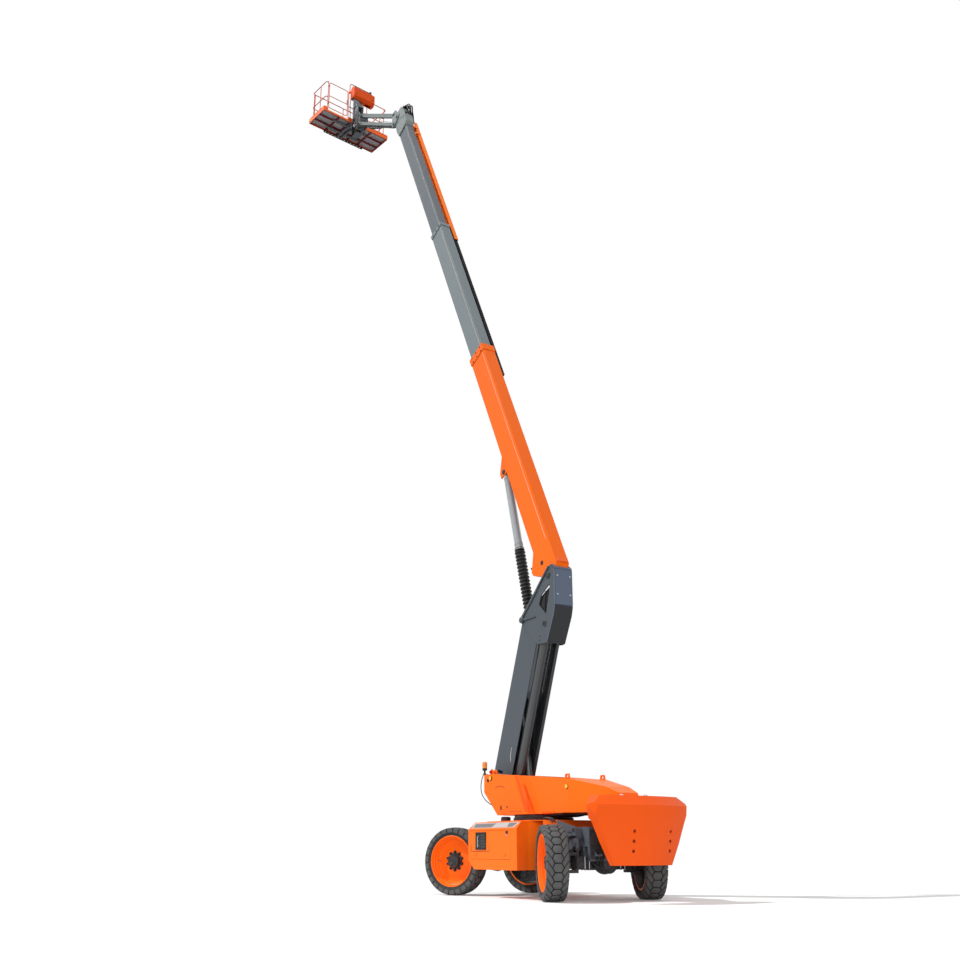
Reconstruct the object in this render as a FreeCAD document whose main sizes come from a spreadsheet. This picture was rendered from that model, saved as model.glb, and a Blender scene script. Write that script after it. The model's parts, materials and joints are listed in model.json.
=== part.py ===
"""Articulated telescopic boom lift, one node per piece, in millimetres.

Frame: +X towards the platform, +Y to the left, +Z up, origin on the ground
under the slew axis.
"""
import FreeCAD, Part
import math
import os
import re
import types

import Sketcher

os.makedirs("parts", exist_ok=True)
doc = FreeCAD.newDocument("boom_lift")

# ---------------------------------------------------------------- driving dimensions
SIZES = {
    # wheels, axles and steering
    "wheelbase": 3340, "kingpin_side": 720, "kingpin_offset": 240,
    "tyre_radius": 600, "tyre_width": 370, "rim_radius": 440,
    "front_steer": 27, "rear_steer": -25, "steer_arm": 180,
    # chassis
    "frame_length": 3860, "frame_width": 860, "frame_low": 620, "frame_high": 1160,
    "frame_wall": 20, "deck_high": 1290, "ring_radius": 520, "ring_high": 1399,
    "hood_side": 1150, "hood_inner": 430, "hood_low": 470, "hood_high": 1270,
    "hood_wall": 25, "door_low": 645, "door_high": 1120, "door_rear": -640,
    "door_front": 690,
    # turntable
    "turn_width": 840, "turn_wall": 25, "cheek_side": 550, "turn_floor": 1400,
    "counter_low": 565, "counter_high": 1630, "counter_hole": 28,
    "counter_round": 2600,
    # riser
    "riser_foot_x": 1120, "riser_foot_z": 1845, "riser_angle": 110.7,
    "riser_length": 3310, "riser_width": 370, "riser_wall": 12, "riser_front": 380,
    "riser_back": 230, "link_shift_x": -400, "link_shift_z": -100,
    "link_inner": 85, "link_outer": 160, "link_depth": 220,
    "lift_foot_x": 350, "lift_foot_z": 1500, "lift_top_along": 1750,
    "lift_top_out": 200,
    # knuckle and main boom
    "knuckle_width": 420, "knuckle_plate": 20,
    "boom_foot_x": -600, "boom_foot_z": 5750, "boom_angle": 64.7,
    "base_width": 300, "base_height": 550, "base_end": 6450, "base_wall": 10,
    "mid_width": 245, "mid_height": 490, "mid_start": 5250, "mid_end": 11250,
    "mid_wall": 8, "fly_width": 200, "fly_height": 430, "fly_start": 10000,
    "fly_end": 16450, "fly_wall": 7,
    "eye_x": 300, "eye_z": 5030, "lug_along": 3100, "lug_below": 440,
    # jib and platform
    "level_x": 6620, "level_z": 20990, "jib_foot_x": 6820, "jib_foot_z": 20860,
    "jib_angle": 33.5, "jib_length": 3000, "jib_rise": 340, "jib_shift": 30,
    "swivel_x": 9700, "platform_yaw": 8, "platform_near": 290,
    "platform_side": -110, "platform_deep": 910, "platform_wide": 2440,
    "floor_high": 23000, "toe_board": 160, "rail_height": 1130, "rail_radius": 14,
}

sheet = doc.addObject("Spreadsheet::Sheet", "Sizes")
for row, (alias, number) in enumerate(SIZES.items(), start=1):
    sheet.set(f"A{row}", alias)
    sheet.set(f"B{row}", str(number))
    sheet.setAlias(f"B{row}", alias)
doc.recompute()
size = types.SimpleNamespace(**{alias: float(sheet.get(alias)) for alias in SIZES})

SIDES = {"left": 1, "right": -1}
ENDS = {"front": 1, "rear": -1}
UP = FreeCAD.Vector(0, 0, 1)
ALONG_Y = FreeCAD.Rotation(FreeCAD.Vector(1, 0, 0), -90)
ALONG_X = FreeCAD.Rotation(FreeCAD.Vector(0, 1, 0), 90)


# ---------------------------------------------------------------- building blocks
def bind(thing, prop, amount):
    """Give a property a number, or bind it to an expression of sheet names."""
    if isinstance(amount, str):
        names = re.sub(r"[a-z]+(_[a-z]+)+", lambda found: "Sizes." + found.group(), amount)
        thing.setExpression(prop, names)
    else:
        setattr(thing, prop, amount)


def at(x=0, y=0, z=0, turn=None):
    return FreeCAD.Placement(FreeCAD.Vector(x, y, z), turn or FreeCAD.Rotation())


def pitched(x, z, angle):
    """A frame in the XZ plane whose X axis is raised by angle degrees."""
    return at(x, 0, z, FreeCAD.Rotation(FreeCAD.Vector(0, -1, 0), angle))


def block(length, width, height, x, y, z):
    """A box whose centre in Y is y and whose low X and Z faces are x and z."""
    box = doc.addObject("Part::Box", "Block")
    bind(box, "Length", length)
    bind(box, "Width", width)
    bind(box, "Height", height)
    doc.recompute()
    box.Placement = at(x, y - box.Width.Value / 2, z)
    return box


def across(radius, width, x, z, y=0):
    """A round bar along Y, centred on y."""
    bar = doc.addObject("Part::Cylinder", "Bar")
    bind(bar, "Radius", radius)
    bind(bar, "Height", width)
    doc.recompute()
    bar.Placement = at(x, y - bar.Height.Value / 2, z, ALONG_Y)
    return bar


def along(radius, length, x, z=0, y=0):
    """A round bar along X from x."""
    bar = doc.addObject("Part::Cylinder", "Bar")
    bind(bar, "Radius", radius)
    bind(bar, "Height", length)
    bar.Placement = at(x, y, z, ALONG_X)
    return bar


def upright(radius, height, x, y, z):
    bar = doc.addObject("Part::Cylinder", "Bar")
    bind(bar, "Radius", radius)
    bind(bar, "Height", height)
    bar.Placement = at(x, y, z)
    return bar


def outline_body(points, role, width, placement=None):
    """A body padded evenly both ways from one of its origin planes."""
    body = doc.addObject("PartDesign::Body", "Body")
    sketch = body.newObject("Sketcher::SketchObject", "Sketch")
    plane = next(face for face in body.Origin.OriginFeatures if face.Role == role)
    sketch.AttachmentSupport = [(plane, "")]
    sketch.MapMode = "FlatFace"
    count = len(points)
    for first, second in zip(points, points[1:] + points[:1]):
        start = FreeCAD.Vector(first[0], first[1], 0)
        end = FreeCAD.Vector(second[0], second[1], 0)
        sketch.addGeometry(Part.LineSegment(start, end))
    for line in range(count):
        sketch.addConstraint(Sketcher.Constraint("Coincident", line, 2, (line + 1) % count, 1))
    pad = body.newObject("PartDesign::Pad", "Pad")
    pad.Profile = sketch
    pad.SideType = "Symmetric"
    bind(pad, "Length", width)
    if placement:
        body.Placement = placement
    return body


def side_plate(points, width, y=0):
    """An outline in X and Z, width thick, centred on y."""
    return outline_body(points, "XZ_Plane", width, at(0, y, 0))


def plan_plate(points, height, z):
    """An outline in X and Y, height thick, standing on z."""
    return outline_body(points, "XY_Plane", height, at(0, 0, z + size_of(height) / 2))


def end_plate(points, length, x):
    """An outline in Y and Z, length thick, centred on x."""
    return outline_body(points, "YZ_Plane", length, at(x, 0, 0))


def size_of(amount):
    return getattr(size, amount) if isinstance(amount, str) else amount


def both(make, *sides):
    """The same piece on each side of the middle plane."""
    return [make(sign * side) for side in sides for sign in (1, -1)]


def revolve(profile, placement):
    """A ring whose profile of radius and width is turned about the Y axis."""
    wire = Part.makePolygon([FreeCAD.Vector(r, w, 0) for r, w in profile + profile[:1]])
    ring = doc.addObject("Part::Feature", "Ring")
    ring.Shape = Part.Face(wire).revolve(FreeCAD.Vector(), FreeCAD.Vector(0, 1, 0), 360)
    ring.Placement = placement
    return ring


def less(base, tool):
    """The base with the tool taken out of it."""
    made = doc.addObject("Part::Cut", "Less")
    made.Base = base
    made.Tool = tool
    return made


def fuse(shapes):
    if len(shapes) == 1:
        return shapes[0]
    union = doc.addObject("Part::MultiFuse", "Union")
    union.Shapes = shapes
    union.Refine = True
    return union


NODES = {}


def node(label, shapes, cuts=(), placement=None):
    """One named piece: shapes joined, cuts taken out, then put in its place."""
    solid = fuse(shapes)
    if cuts:
        solid = less(solid, fuse(list(cuts)))
    if placement:
        whole = doc.addObject("Part::Compound", "Placed")
        whole.Links = [solid]
        whole.Placement = placement
        solid = whole
    solid.Label = label
    NODES[label] = solid
    return solid


# ---------------------------------------------------------------- wheels and steering
HALF_BASE = size.wheelbase / 2


def wheel_frame(end, side):
    """Centre of a wheel, turned with its knuckle about the kingpin."""
    steer = size.front_steer if end == "front" else size.rear_steer
    turn = FreeCAD.Rotation(UP, steer)
    sign = SIDES[side]
    reach = turn.multVec(FreeCAD.Vector(0, sign * size.kingpin_offset, 0))
    flip = turn if sign > 0 else turn.multiply(FreeCAD.Rotation(UP, 180))
    return at(ENDS[end] * HALF_BASE + reach.x, sign * size.kingpin_side + reach.y,
              size.tyre_radius, flip)


def tyre(end, side):
    half = size.tyre_width / 2
    shoulder = 45
    profile = [(size.rim_radius, -half + 25), (size.rim_radius + 60, -half),
               (size.tyre_radius - shoulder, -half), (size.tyre_radius, -half + shoulder),
               (size.tyre_radius, half - shoulder), (size.tyre_radius - shoulder, half),
               (size.rim_radius + 60, half), (size.rim_radius, half - 25)]
    node(f"{end}_{side}_tyre", [revolve(profile, wheel_frame(end, side))])


def rim(end, side):
    """A dished rim with its planetary hub; +Y is the wheel's outer side."""
    half = size.tyre_width / 2
    edge = size.rim_radius - 0.5
    barrel = size.rim_radius - 16
    profile = [(edge, half - 22), (edge, -half + 22), (barrel, -half + 22), (barrel, -40),
               (150, -5), (150, 22), (300, 10), (barrel - 10, -10), (barrel - 10, half - 60),
               (barrel + 8, half - 22)]
    hub = [(45, -60), (150, -60), (150, 60), (120, 100), (0.01, 110), (0.01, 40), (45, 40)]
    ring = fuse([revolve(profile, at()), revolve(hub, at())])
    node(f"{end}_{side}_rim", [ring], placement=wheel_frame(end, side))


def knuckle(end, side):
    """Steering knuckle about its kingpin, with a stub axle and a steering arm."""
    sign = SIDES[side]
    inward = -ENDS[end]
    steer = size.front_steer if end == "front" else size.rear_steer
    mid = size.tyre_radius
    kingpin = upright(40, 420, 0, 0, mid - 210)
    barrel = upright(68, 200, 0, 0, mid - 100)
    stub = across(42, 190, 0, mid, sign * 155)
    flange = across(110, 20, 0, mid, sign * 85)
    arm_points = [(-30 * inward, -55), (-30 * inward, 55), (size.steer_arm * inward, 25 - 40 * sign),
                  (size.steer_arm * inward, -25 - 40 * sign)]
    if inward < 0:
        arm_points.reverse()
    arm = plan_plate(arm_points, 30, mid - 45)
    shapes = [kingpin, barrel, stub, flange, arm]
    node(f"{end}_{side}_knuckle", shapes,
         placement=at(ENDS[end] * HALF_BASE, sign * size.kingpin_side, 0,
                      FreeCAD.Rotation(UP, steer)))


def steer_rod(end):
    """Through rod of the steering cylinder, shifted as far as the arms are turned."""
    steer = math.radians(size.front_steer if end == "front" else size.rear_steer)
    inward = -ENDS[end]
    shift = size.steer_arm * math.sin(steer) * inward
    middle = ENDS[end] * HALF_BASE + inward * size.steer_arm * 0.97
    reach = size.kingpin_side - 40
    low = size.tyre_radius - 77
    rod = across(20, 2 * reach, middle, low, shift)
    eyes = [upright(38, 44, middle, shift + sign * reach, low - 22) for sign in (1, -1)]
    node(f"{end}_steer_rod", [rod] + eyes)


def axle(end):
    """Rigid axle with differential, kingpin yokes, steering cylinder and struts."""
    x = ENDS[end] * HALF_BASE
    inward = -ENDS[end]
    mid = size.tyre_radius
    beam = block(180, 1130, 190, x - 90, 0, mid - 95)
    bulge = doc.addObject("Part::Sphere", "Differential")
    bulge.Radius = 190
    bulge.Placement = at(x, -60, mid)
    nose = along(95, 260, x + (0 if inward > 0 else -260), mid, -60)
    ears = []
    for sign in (1, -1):
        for z in (mid + 112, mid - 162):
            ears.append(block(130, 205, 50, x - 65, sign * (size.kingpin_side - 77.5), z))
            ears.append(upright(68, 50, x, sign * size.kingpin_side, z))
        ears.append(block(130, 50, 324, x - 65, sign * (size.kingpin_side - 175), mid - 162))
    rod_x = x + inward * size.steer_arm * 0.97
    barrel = across(46, 420, rod_x, mid - 77)
    saddle = block(150, 120, 60, min(rod_x, x), 0, mid - 107)
    pads = [block(160, 120, 850 - mid - 90, x - 80, sign * 370, mid + 90) for sign in (1, -1)]
    pins = [upright(40.6, 60, x, sign * size.kingpin_side, z)
            for sign in (1, -1) for z in (mid + 107, mid - 167)]
    bore = across(20.6, 500, rod_x, mid - 77)
    node(f"{end}_axle", [beam, bulge, nose, barrel, saddle] + ears + pads, pins + [bore])


def axle_strut(end):
    """Oscillation cylinders between axle and frame, locked in place."""
    x = ENDS[end] * HALF_BASE
    mid = size.tyre_radius
    struts = []
    for sign in (1, -1):
        struts.append(upright(42, 230, x, sign * 487, mid + 190))
        struts.append(upright(24, 110, x, sign * 487, mid + 95))
    heads = [block(120, 130, 60, x - 60, sign * 495, mid + 420) for sign in (1, -1)]
    node(f"{end}_axle_struts", struts + heads)


# ---------------------------------------------------------------- chassis
def chassis_frame():
    half = size.frame_length / 2
    shell = block("frame_length", "frame_width", "frame_high - frame_low", -half, 0, size.frame_low)
    wall = size.frame_wall
    inner = block("frame_length - 2 * frame_wall", "frame_width - 2 * frame_wall",
                  "frame_high - frame_low - 2 * frame_wall", -half + wall, 0,
                  size.frame_low + wall)
    arches = [block(420, 1000, 240, sign * HALF_BASE - 210, 0, size.frame_low - 10)
              for sign in (1, -1)]
    arches += [block(180, 240, 90, sign * (HALF_BASE - 250) - 90, -60, size.frame_low - 10)
               for sign in (1, -1)]
    lugs = []
    bores = []
    for end in (1, -1):
        for sign in (1, -1):
            lugs.append(block(110, 110, 30, end * (half + 45) - 55, sign * 300, 700))
            bores.append(upright(25, 60, end * (half + 45), sign * 300, 685))
    node("chassis_frame", [shell] + lugs, [inner] + arches + bores)


def chassis_deck():
    """Top plate that carries the slewing ring and covers the gap between the hoods."""
    half = 1050
    corner = 330
    wide = 760
    outline = [(half, -wide + corner), (half, wide - corner), (half - corner, wide),
               (-half + corner, wide), (-half, wide - corner), (-half, -wide + corner),
               (-half + corner, -wide), (half - corner, -wide)]
    top = plan_plate(outline, 15, size.deck_high - 15)
    skirt = plan_plate(outline, 115, size.deck_high - 125)
    hollow = plan_plate([(0.96 * x, 0.96 * y) for x, y in outline], 110, size.deck_high - 125)
    notches = [block(1640, 400, 120, -865, sign * (size.hood_inner + 200), size.deck_high - 135)
               for sign in (1, -1)]
    pedestal = upright("ring_radius - 60", "deck_high - frame_high", 0, 0, size.frame_high)
    well = upright("ring_radius - 170", 300, 0, 0, size.frame_high - 50)
    node("chassis_deck", [top, less(skirt, hollow), pedestal], notches + [well])


def slew_ring():
    ring = upright("ring_radius", "ring_high - deck_high", 0, 0, size.deck_high)
    core = upright("ring_radius - 170", 300, 0, 0, size.deck_high - 50)
    node("slew_ring", [ring], [core])


HOOD_REAR = [(-730, 0), (-730, 840), (-765, 960), (-810, 1075), (-845, 1150)]
HOOD_FRONT = [(750, 1150), (750, 1000), (730, 840), (730, 0)]


def hood_plan(sign, inset):
    """Plan outline of a side hood, its ends cut back where the tyres swing."""
    rear = [(x + inset, max(y, size.hood_inner + inset)) for x, y in HOOD_REAR]
    front = [(x - inset, max(y, size.hood_inner + inset)) for x, y in HOOD_FRONT]
    ring = [(x, min(y, size.hood_side - inset)) for x, y in rear + front]
    return [(x, sign * y) for x, y in ring]


def hood_section(sign, inset):
    """Section of a side hood with its bevelled upper edge."""
    low = size.hood_low + inset
    high = size.hood_high - inset
    side = size.hood_side - inset
    inner = size.hood_inner + inset
    points = [(inner, low), (side, low), (side, high - 125), (side - 150, high), (inner, high)]
    return [(sign * y, z) for y, z in points]


def hood_solid(sign, inset):
    plan = plan_plate(hood_plan(sign, inset), "hood_high", size.hood_low - 100)
    section = end_plate(hood_section(sign, inset), 2400, 0)
    low = size.hood_low + inset
    front = 750 - inset
    view = side_plate([(-900, low), (546 - 0.35 * inset, low), (front, 630 + 0.49 * inset),
                       (front, 1300), (-900, 1300)], 2400)
    common = doc.addObject("Part::MultiCommon", "Hood")
    common.Shapes = [plan, section, view]
    return common


def hood(side):
    """A hollow cover beside the frame, open where its door closes it."""
    sign = SIDES[side]
    opening = block("door_front - door_rear + 10", 120, "door_high - door_low + 10",
                    size.door_rear - 5, sign * size.hood_side, size.door_low - 5)
    node(f"{side}_hood", [hood_solid(sign, 0)], [hood_solid(sign, size.hood_wall), opening])


def hood_door(side):
    sign = SIDES[side]
    leaf = block("door_front - door_rear", "hood_wall", "door_high - door_low", size.door_rear,
                 sign * (size.hood_side - size.hood_wall / 2), size.door_low)
    rib = block("door_front - door_rear - 200", 20, 60, size.door_rear + 100,
                sign * (size.hood_side - size.hood_wall - 10), size.door_low + 250)
    handles = [block(90, 12, 30, x, sign * (size.hood_side + 6), size.door_low + 60)
               for x in (size.door_rear + 140, size.door_front - 230)]
    node(f"{side}_hood_door", [leaf, rib] + handles)


def engine():
    node("engine_block", [block(820, 400, 500, -380, -770, 560)])


def hydraulic_tank():
    """A steel tank whose filler hole opens in its top."""
    tank = block(520, 420, 480, -660, 770, 520)
    room = block(500, 400, 460, -650, 770, 530)
    node("hydraulic_tank", [tank], [room, upright(45, 60, -560, 700, 960)])


# ---------------------------------------------------------------- turntable
FOOT = (size.riser_foot_x, size.riser_foot_z)
LINK_FOOT = (FOOT[0] + size.link_shift_x, FOOT[1] + size.link_shift_z)
LIFT_FOOT = (size.lift_foot_x, size.lift_foot_z)
TAIL = -2295


def cheek(sign):
    """Raised side panel at the front, its rear edge sloping back to the side plate."""
    outer_edge = [(1170, 1830), (700, 1402), (-200, 1402), (320, 2108), (850, 2150), (1170, 2150)]
    inner_edge = [(1170, 1830), (700, 1402), (-330, 1402), (200, 2099), (850, 2150), (1170, 2150)]
    near = size.turn_width / 2

    def loft(shrink, depth):
        sections = []
        for edge, y in ((inner_edge, near), (outer_edge, depth)):
            middle = (450, 1780)
            wire = doc.addObject("Part::Polygon", "Edge")
            wire.Nodes = [FreeCAD.Vector(middle[0] + (x - middle[0]) * shrink, sign * y,
                                         middle[1] + (z - middle[1]) * shrink) for x, z in edge]
            wire.Close = True
            sections.append(wire)
        solid = doc.addObject("Part::Loft", "Cheek")
        solid.Sections = sections
        solid.Solid = True
        solid.Ruled = True
        return solid

    return less(loft(1.0, size.cheek_side), loft(0.94, size.cheek_side - size.turn_wall))


def shared(shapes):
    """The common part of several shapes."""
    common = doc.addObject("Part::MultiCommon", "Common")
    common.Shapes = shapes
    return common


def tail_plan(inset):
    """Plan of the turntable frame: straight sides that close in towards the tail."""
    half = size.turn_width / 2 - inset
    ring = [(1200, half), (-1380, half), (-2500, half - 226)]
    return plan_plate(ring + [(x, -y) for x, y in reversed(ring)], 900, 1350)


def turntable_frame():
    outline = [(1170, 2150), (1170, 1830), (700, 1400), (TAIL, 1400), (TAIL, 1642), (-2490, 1642),
               (-2470, 1690), (-2180, 1800), (-1380, 1962), (-450, 2047), (850, 2150)]
    shell = shared([side_plate(outline, "turn_width"), tail_plan(0)])
    front_room = [(1145, 2300), (1145, 1842), (690, 1425), (-1200, 1425), (-1200, 2300)]
    mouth = block(400, 410, 760, 900, 0, 1560)
    rear_room = [(-1199, 1425), (TAIL + 25, 1425), (TAIL + 25, 1664), (-2430, 1664),
                 (-2430, 1678), (-2172, 1776), (-1380, 1937), (-1199, 1953)]
    rooms = [side_plate(front_room, "turn_width - 2 * turn_wall"),
             shared([side_plate(rear_room, "turn_width"), tail_plan(25)])]
    hollow = less(shell, fuse(rooms))
    bracket = [(620, 1420), (860, 1420), (1150, 1700), (1150, 1960), (1060, 1960), (900, 1840)]
    brackets = both(lambda y: side_plate(bracket, 25, y), 208)
    link_lug = [(600, 1420), (840, 1420), (770, 1810), (670, 1810)]
    link_lugs = both(lambda y: side_plate(link_lug, 45, y), 57)
    lift_lug = [(250, 1420), (450, 1420), (400, 1570), (300, 1570)]
    lift_lugs = both(lambda y: side_plate(lift_lug, 30, y), 70)
    pins = [across(45, 800, *FOOT), across(30, 170, *LIFT_FOOT)]
    eye = [(-1395, 1880), (-1205, 1880), (-1250, 2048), (-1350, 2048)]
    eyes = both(lambda y: side_plate(eye, 24, y), size.turn_width / 2 - size.turn_wall - 12)
    bores = [across(28, 900, -1300, 2003), across(40.6, 200, *LINK_FOOT)]
    body = [less(hollow, mouth), cheek(1), cheek(-1)] + brackets + link_lugs + lift_lugs
    node("turntable_frame", body + pins + eyes, bores)


def counterweight():
    """A casting: the common part of a side, a plan, a rear outline and a round rear face."""
    low = size.counter_low
    high = size.counter_high
    crease = 1480
    side = [(-2660, low), (-3050, low), (-3050, high), (TAIL - 5, high), (TAIL - 5, 1405),
            (-2600, 1250)]
    plan = [(-3050, -850), (-3050, 850), (-2630, 1000), (TAIL, 560), (TAIL, -560), (-2630, -1000)]
    rear = [(590, low), (750, 900), (865, 1180), (960, 1380), (1000, crease), (800, high)]
    rear_ring = rear + [(-y, z) for y, z in reversed(rear)]
    rounds = []
    for foot, foot_radius, top, top_radius in (
            (low, size.counter_round - 150, crease, size.counter_round),
            (crease, size.counter_round, high, size.counter_round - 140)):
        cone = doc.addObject("Part::Cone", "Round")
        cone.Radius1, cone.Radius2, cone.Height = foot_radius, top_radius, top - foot
        cone.Placement = at(-3000 + size.counter_round, 0, foot)
        rounds.append(cone)
    casting = shared([side_plate(side, 2200), plan_plate(plan, 1200, low - 50),
                      end_plate(rear_ring, 1000, -2700), fuse(rounds)])
    holes = [along("counter_hole", 320, -3060, z, y) for y in (270, -510)
             for z in (1080, 930, 780)]
    node("counterweight", [casting], holes)


def beacon():
    plate = block(190, 60, 10, 1070, 510, 2150)
    post = upright(16, 90, 1215, 510, 2155)
    lens = upright(48, 165, 1215, 510, 2235)
    node("beacon", [plate, post, lens])


# ---------------------------------------------------------------- riser
RISER = pitched(FOOT[0], FOOT[1], size.riser_angle)
OPEN_FROM = 1900


def on_riser(x, z):
    """World X and Z of a point given in the riser's own frame."""
    point = RISER.multVec(FreeCAD.Vector(x, 0, z))
    return point.x, point.z


KNUCKLE = on_riser(size.riser_length, 0)
LINK_TOP = (KNUCKLE[0] + size.link_shift_x, KNUCKLE[1] + size.link_shift_z)
LIFT_TOP = on_riser(size.lift_top_along, -size.lift_top_out)
EYE_WIDTH = 88


def riser_beam():
    """A channel open to the rear, where the level links lie when it is lowered."""
    top = size.riser_length
    front = -size.riser_front
    outline = [(-130, -110), (60, front), (top - 100, front), (top + 20, -210), (top + 90, -110),
               (top + 90, 110), (top - 130, size.riser_back), (0, size.riser_back), (-130, 110)]
    shell = side_plate(outline, "riser_width")
    inner = front + size.riser_wall
    room = [(-300, inner), (OPEN_FROM, inner), (OPEN_FROM, front - 50), (top + 300, front - 50),
            (top + 300, 500), (-300, 500)]
    channel = less(shell, side_plate(room, "riser_width - 2 * riser_wall"))
    hub = across(78, "riser_width - 4", 0, 0)
    lug_x = size.lift_top_along
    lug_z = -size.lift_top_out
    lug = [(lug_x - 160, inner - 4), (lug_x + 140, inner - 4), (lug_x + 55, lug_z + 50),
           (lug_x - 55, lug_z + 50)]
    lugs = both(lambda y: side_plate(lug, 22, y), 66)
    bores = [across(46, 500, 0, 0), across(55.6, 500, top, 0)]
    node("riser_beam", [channel, hub] + lugs, bores, RISER)


def level_links():
    """Two box-section bars beside each other that keep the knuckle level."""
    wide = size.link_outer - size.link_inner
    middle = (size.link_outer + size.link_inner) / 2
    half = size.link_depth / 2
    top = size.riser_length
    outline = [(-70, -half + 30), (-20, -half), (top + 20, -half), (top + 70, -half + 30),
               (top + 70, half - 30), (top + 20, half), (-20, half), (-70, half - 30)]
    bars = both(lambda y: less(side_plate(outline, wide, y),
                               block(top + 200, wide - 20, 2 * half - 20, -100, y, 10 - half)),
                middle)
    pins = [across(40, 2 * size.link_outer + 4, x, 0) for x in (0, top)]
    node("level_links", bars + pins, placement=pitched(*LINK_FOOT, size.riser_angle))


def cylinder_pair(label, foot, top, radius, barrel_end, rod_start, rod_radius, eye_radius):
    """A hydraulic cylinder between two pivots: barrel at foot, rod eye at top."""
    span = math.hypot(top[0] - foot[0], top[1] - foot[1])
    angle = math.degrees(math.atan2(top[1] - foot[1], top[0] - foot[0]))
    place = pitched(foot[0], foot[1], angle)
    eye = across(eye_radius + 6, EYE_WIDTH, 0, 0)
    neck = along(EYE_WIDTH / 2 - 2, 140, 0)
    barrel = along(radius, barrel_end - 115, 115)
    gland = along(radius + 8, 60, barrel_end - 60)
    node(f"{label}_barrel", [eye, neck, barrel, gland],
         [along(radius - 12, barrel_end + 10, 150), across(30.6, 200, 0, 0)], place)
    rod = along(rod_radius, span - rod_start, rod_start)
    piston = along(radius - 14, 60, rod_start)
    rod_eye = across(eye_radius, EYE_WIDTH, span, 0)
    node(f"{label}_rod", [rod, piston, rod_eye], placement=place)


def riser_cylinder():
    cylinder_pair("riser_lift", LIFT_FOOT, LIFT_TOP, 70, 1110, 1000, 38, 58)


# ---------------------------------------------------------------- knuckle
def knuckle_frame():
    """Two side plates with a triangular window, joined by cross tubes."""
    outline = [(-650, 5930), (-225, 5550), (-25, 5410), (345, 5075), (330, 4970), (298, 4955),
               (-193, 4490), (-447, 4465), (-500, 4480), (-740, 4970), (-785, 5145), (-785, 5860),
               (-740, 5930)]
    window = [(-640, 5570), (-640, 5480), (-510, 5010), (-275, 5225), (-352, 5400)]
    half = size.knuckle_width / 2 - size.knuckle_plate / 2
    plates = both(lambda y: side_plate(outline, "knuckle_plate", y), half)
    inside = size.knuckle_width - 2 * size.knuckle_plate
    tubes = [across(55, inside, *KNUCKLE), across(60, inside, size.boom_foot_x, size.boom_foot_z)]
    lug = [(KNUCKLE[0] - 60, KNUCKLE[1] - 50), (KNUCKLE[0] + 20, KNUCKLE[1] - 85),
           (size.eye_x + 60, size.eye_z - 45), (size.eye_x + 60, size.eye_z + 45),
           (KNUCKLE[0] - 40, KNUCKLE[1] + 70)]
    lugs = both(lambda y: side_plate(lug, 22, y), 66)
    bosses = both(lambda y: across(48, 30, size.eye_x, size.eye_z, y), half + 22)
    bosses += both(lambda y: across(60, 16, *LINK_TOP, y), half + 16)
    web = side_plate([(-770, 5170), (-740, 5170), (-740, 5560), (-770, 5560)], inside)
    node("knuckle_frame", plates + tubes + lugs + bosses + [web],
         both(lambda y: side_plate(window, 60, y), half))


def knuckle_covers():
    """Upper and lower rear covers between the side plates."""
    wide = size.knuckle_width
    upper = [(-785, 5150), (-785, 5840), (-803, 5830), (-803, 5150)]
    lower = [(-785, 5140), (-740, 4970), (-500, 4480), (-516, 4472), (-757, 4965), (-803, 5140)]
    node("knuckle_covers", [side_plate(upper, wide), side_plate(lower, wide)])


# ---------------------------------------------------------------- telescopic boom
BOOM = pitched(size.boom_foot_x, size.boom_foot_z, size.boom_angle)
PAD = 14


def tube(width, height, wall, start, end):
    """A square tube along the boom."""
    skin = block(f"{end} - {start}" if isinstance(start, str) else end - start, width, height,
                 size_of(start), 0, -size_of(height) / 2)
    bore = block(20000, f"{width} - 2 * {wall}", f"{height} - 2 * {wall}",
                 size_of(start) - 100, 0, -size_of(height) / 2 + size_of(wall))
    return skin, bore


def collar(outer_width, outer_height, inner_width, inner_height, start, length, overhang):
    """The reinforced mouth of a tube, with the inner edge as wide as its bore."""
    ring = block(length, outer_width + 2 * overhang, outer_height + 2 * overhang, start, 0,
                 -outer_height / 2 - overhang)
    bore = block(length + 40, inner_width, inner_height, start - 20, 0, -inner_height / 2)
    return less(ring, bore)


def base_boom():
    half = size.base_height / 2
    wide = size.base_width
    skin = side_plate([(-110, 60), (120, half), (size.base_end, half), (size.base_end, -half),
                       (760, -half), (434, -500), (337, -475), (134, -215), (-110, -60)],
                      "base_width")
    room = side_plate([(300, half - 10), (size.base_end + 100, half - 10),
                       (size.base_end + 100, -half + 10), (640, -half + 10), (434, -480),
                       (350, -455), (300, -380)], "base_width - 2 * base_wall")
    mouth = collar(wide, size.base_height, wide - 20, size.base_height - 20,
                   size.base_end - 190, 190, 16)
    lug = [(2760, -half + 2), (2900, -320), (3020, -350), (3020, -575), (3150, -575),
           (3560, -half + 2)]
    lugs = both(lambda y: side_plate(lug, 24, y), 74)
    pin = across(30, 170, size.lug_along, -size.lug_below)
    bores = [across(60.6, 400, 0, 0)]
    node("base_boom", [skin, mouth] + lugs + [pin], [room] + bores, BOOM)


def mid_boom():
    skin, bore = tube("mid_width", "mid_height", "mid_wall", "mid_start", "mid_end")
    mouth = collar(size.mid_width, size.mid_height, size.mid_width - 16, size.mid_height - 16,
                   size.mid_end - 130, 130, 14)
    node("mid_boom", [skin, mouth], [bore], BOOM)


def cable_track():
    """Track that carries hoses along the right side of the boom, fixed to the middle section."""
    lane = -(size.base_width / 2 + 75)
    chain = block(5700, 70, 90, 5560, lane, 140)
    bracket = block(90, 60, 40, size.mid_end - 110, -166.5, 170)
    node("cable_track", [chain, bracket], placement=BOOM)


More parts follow.
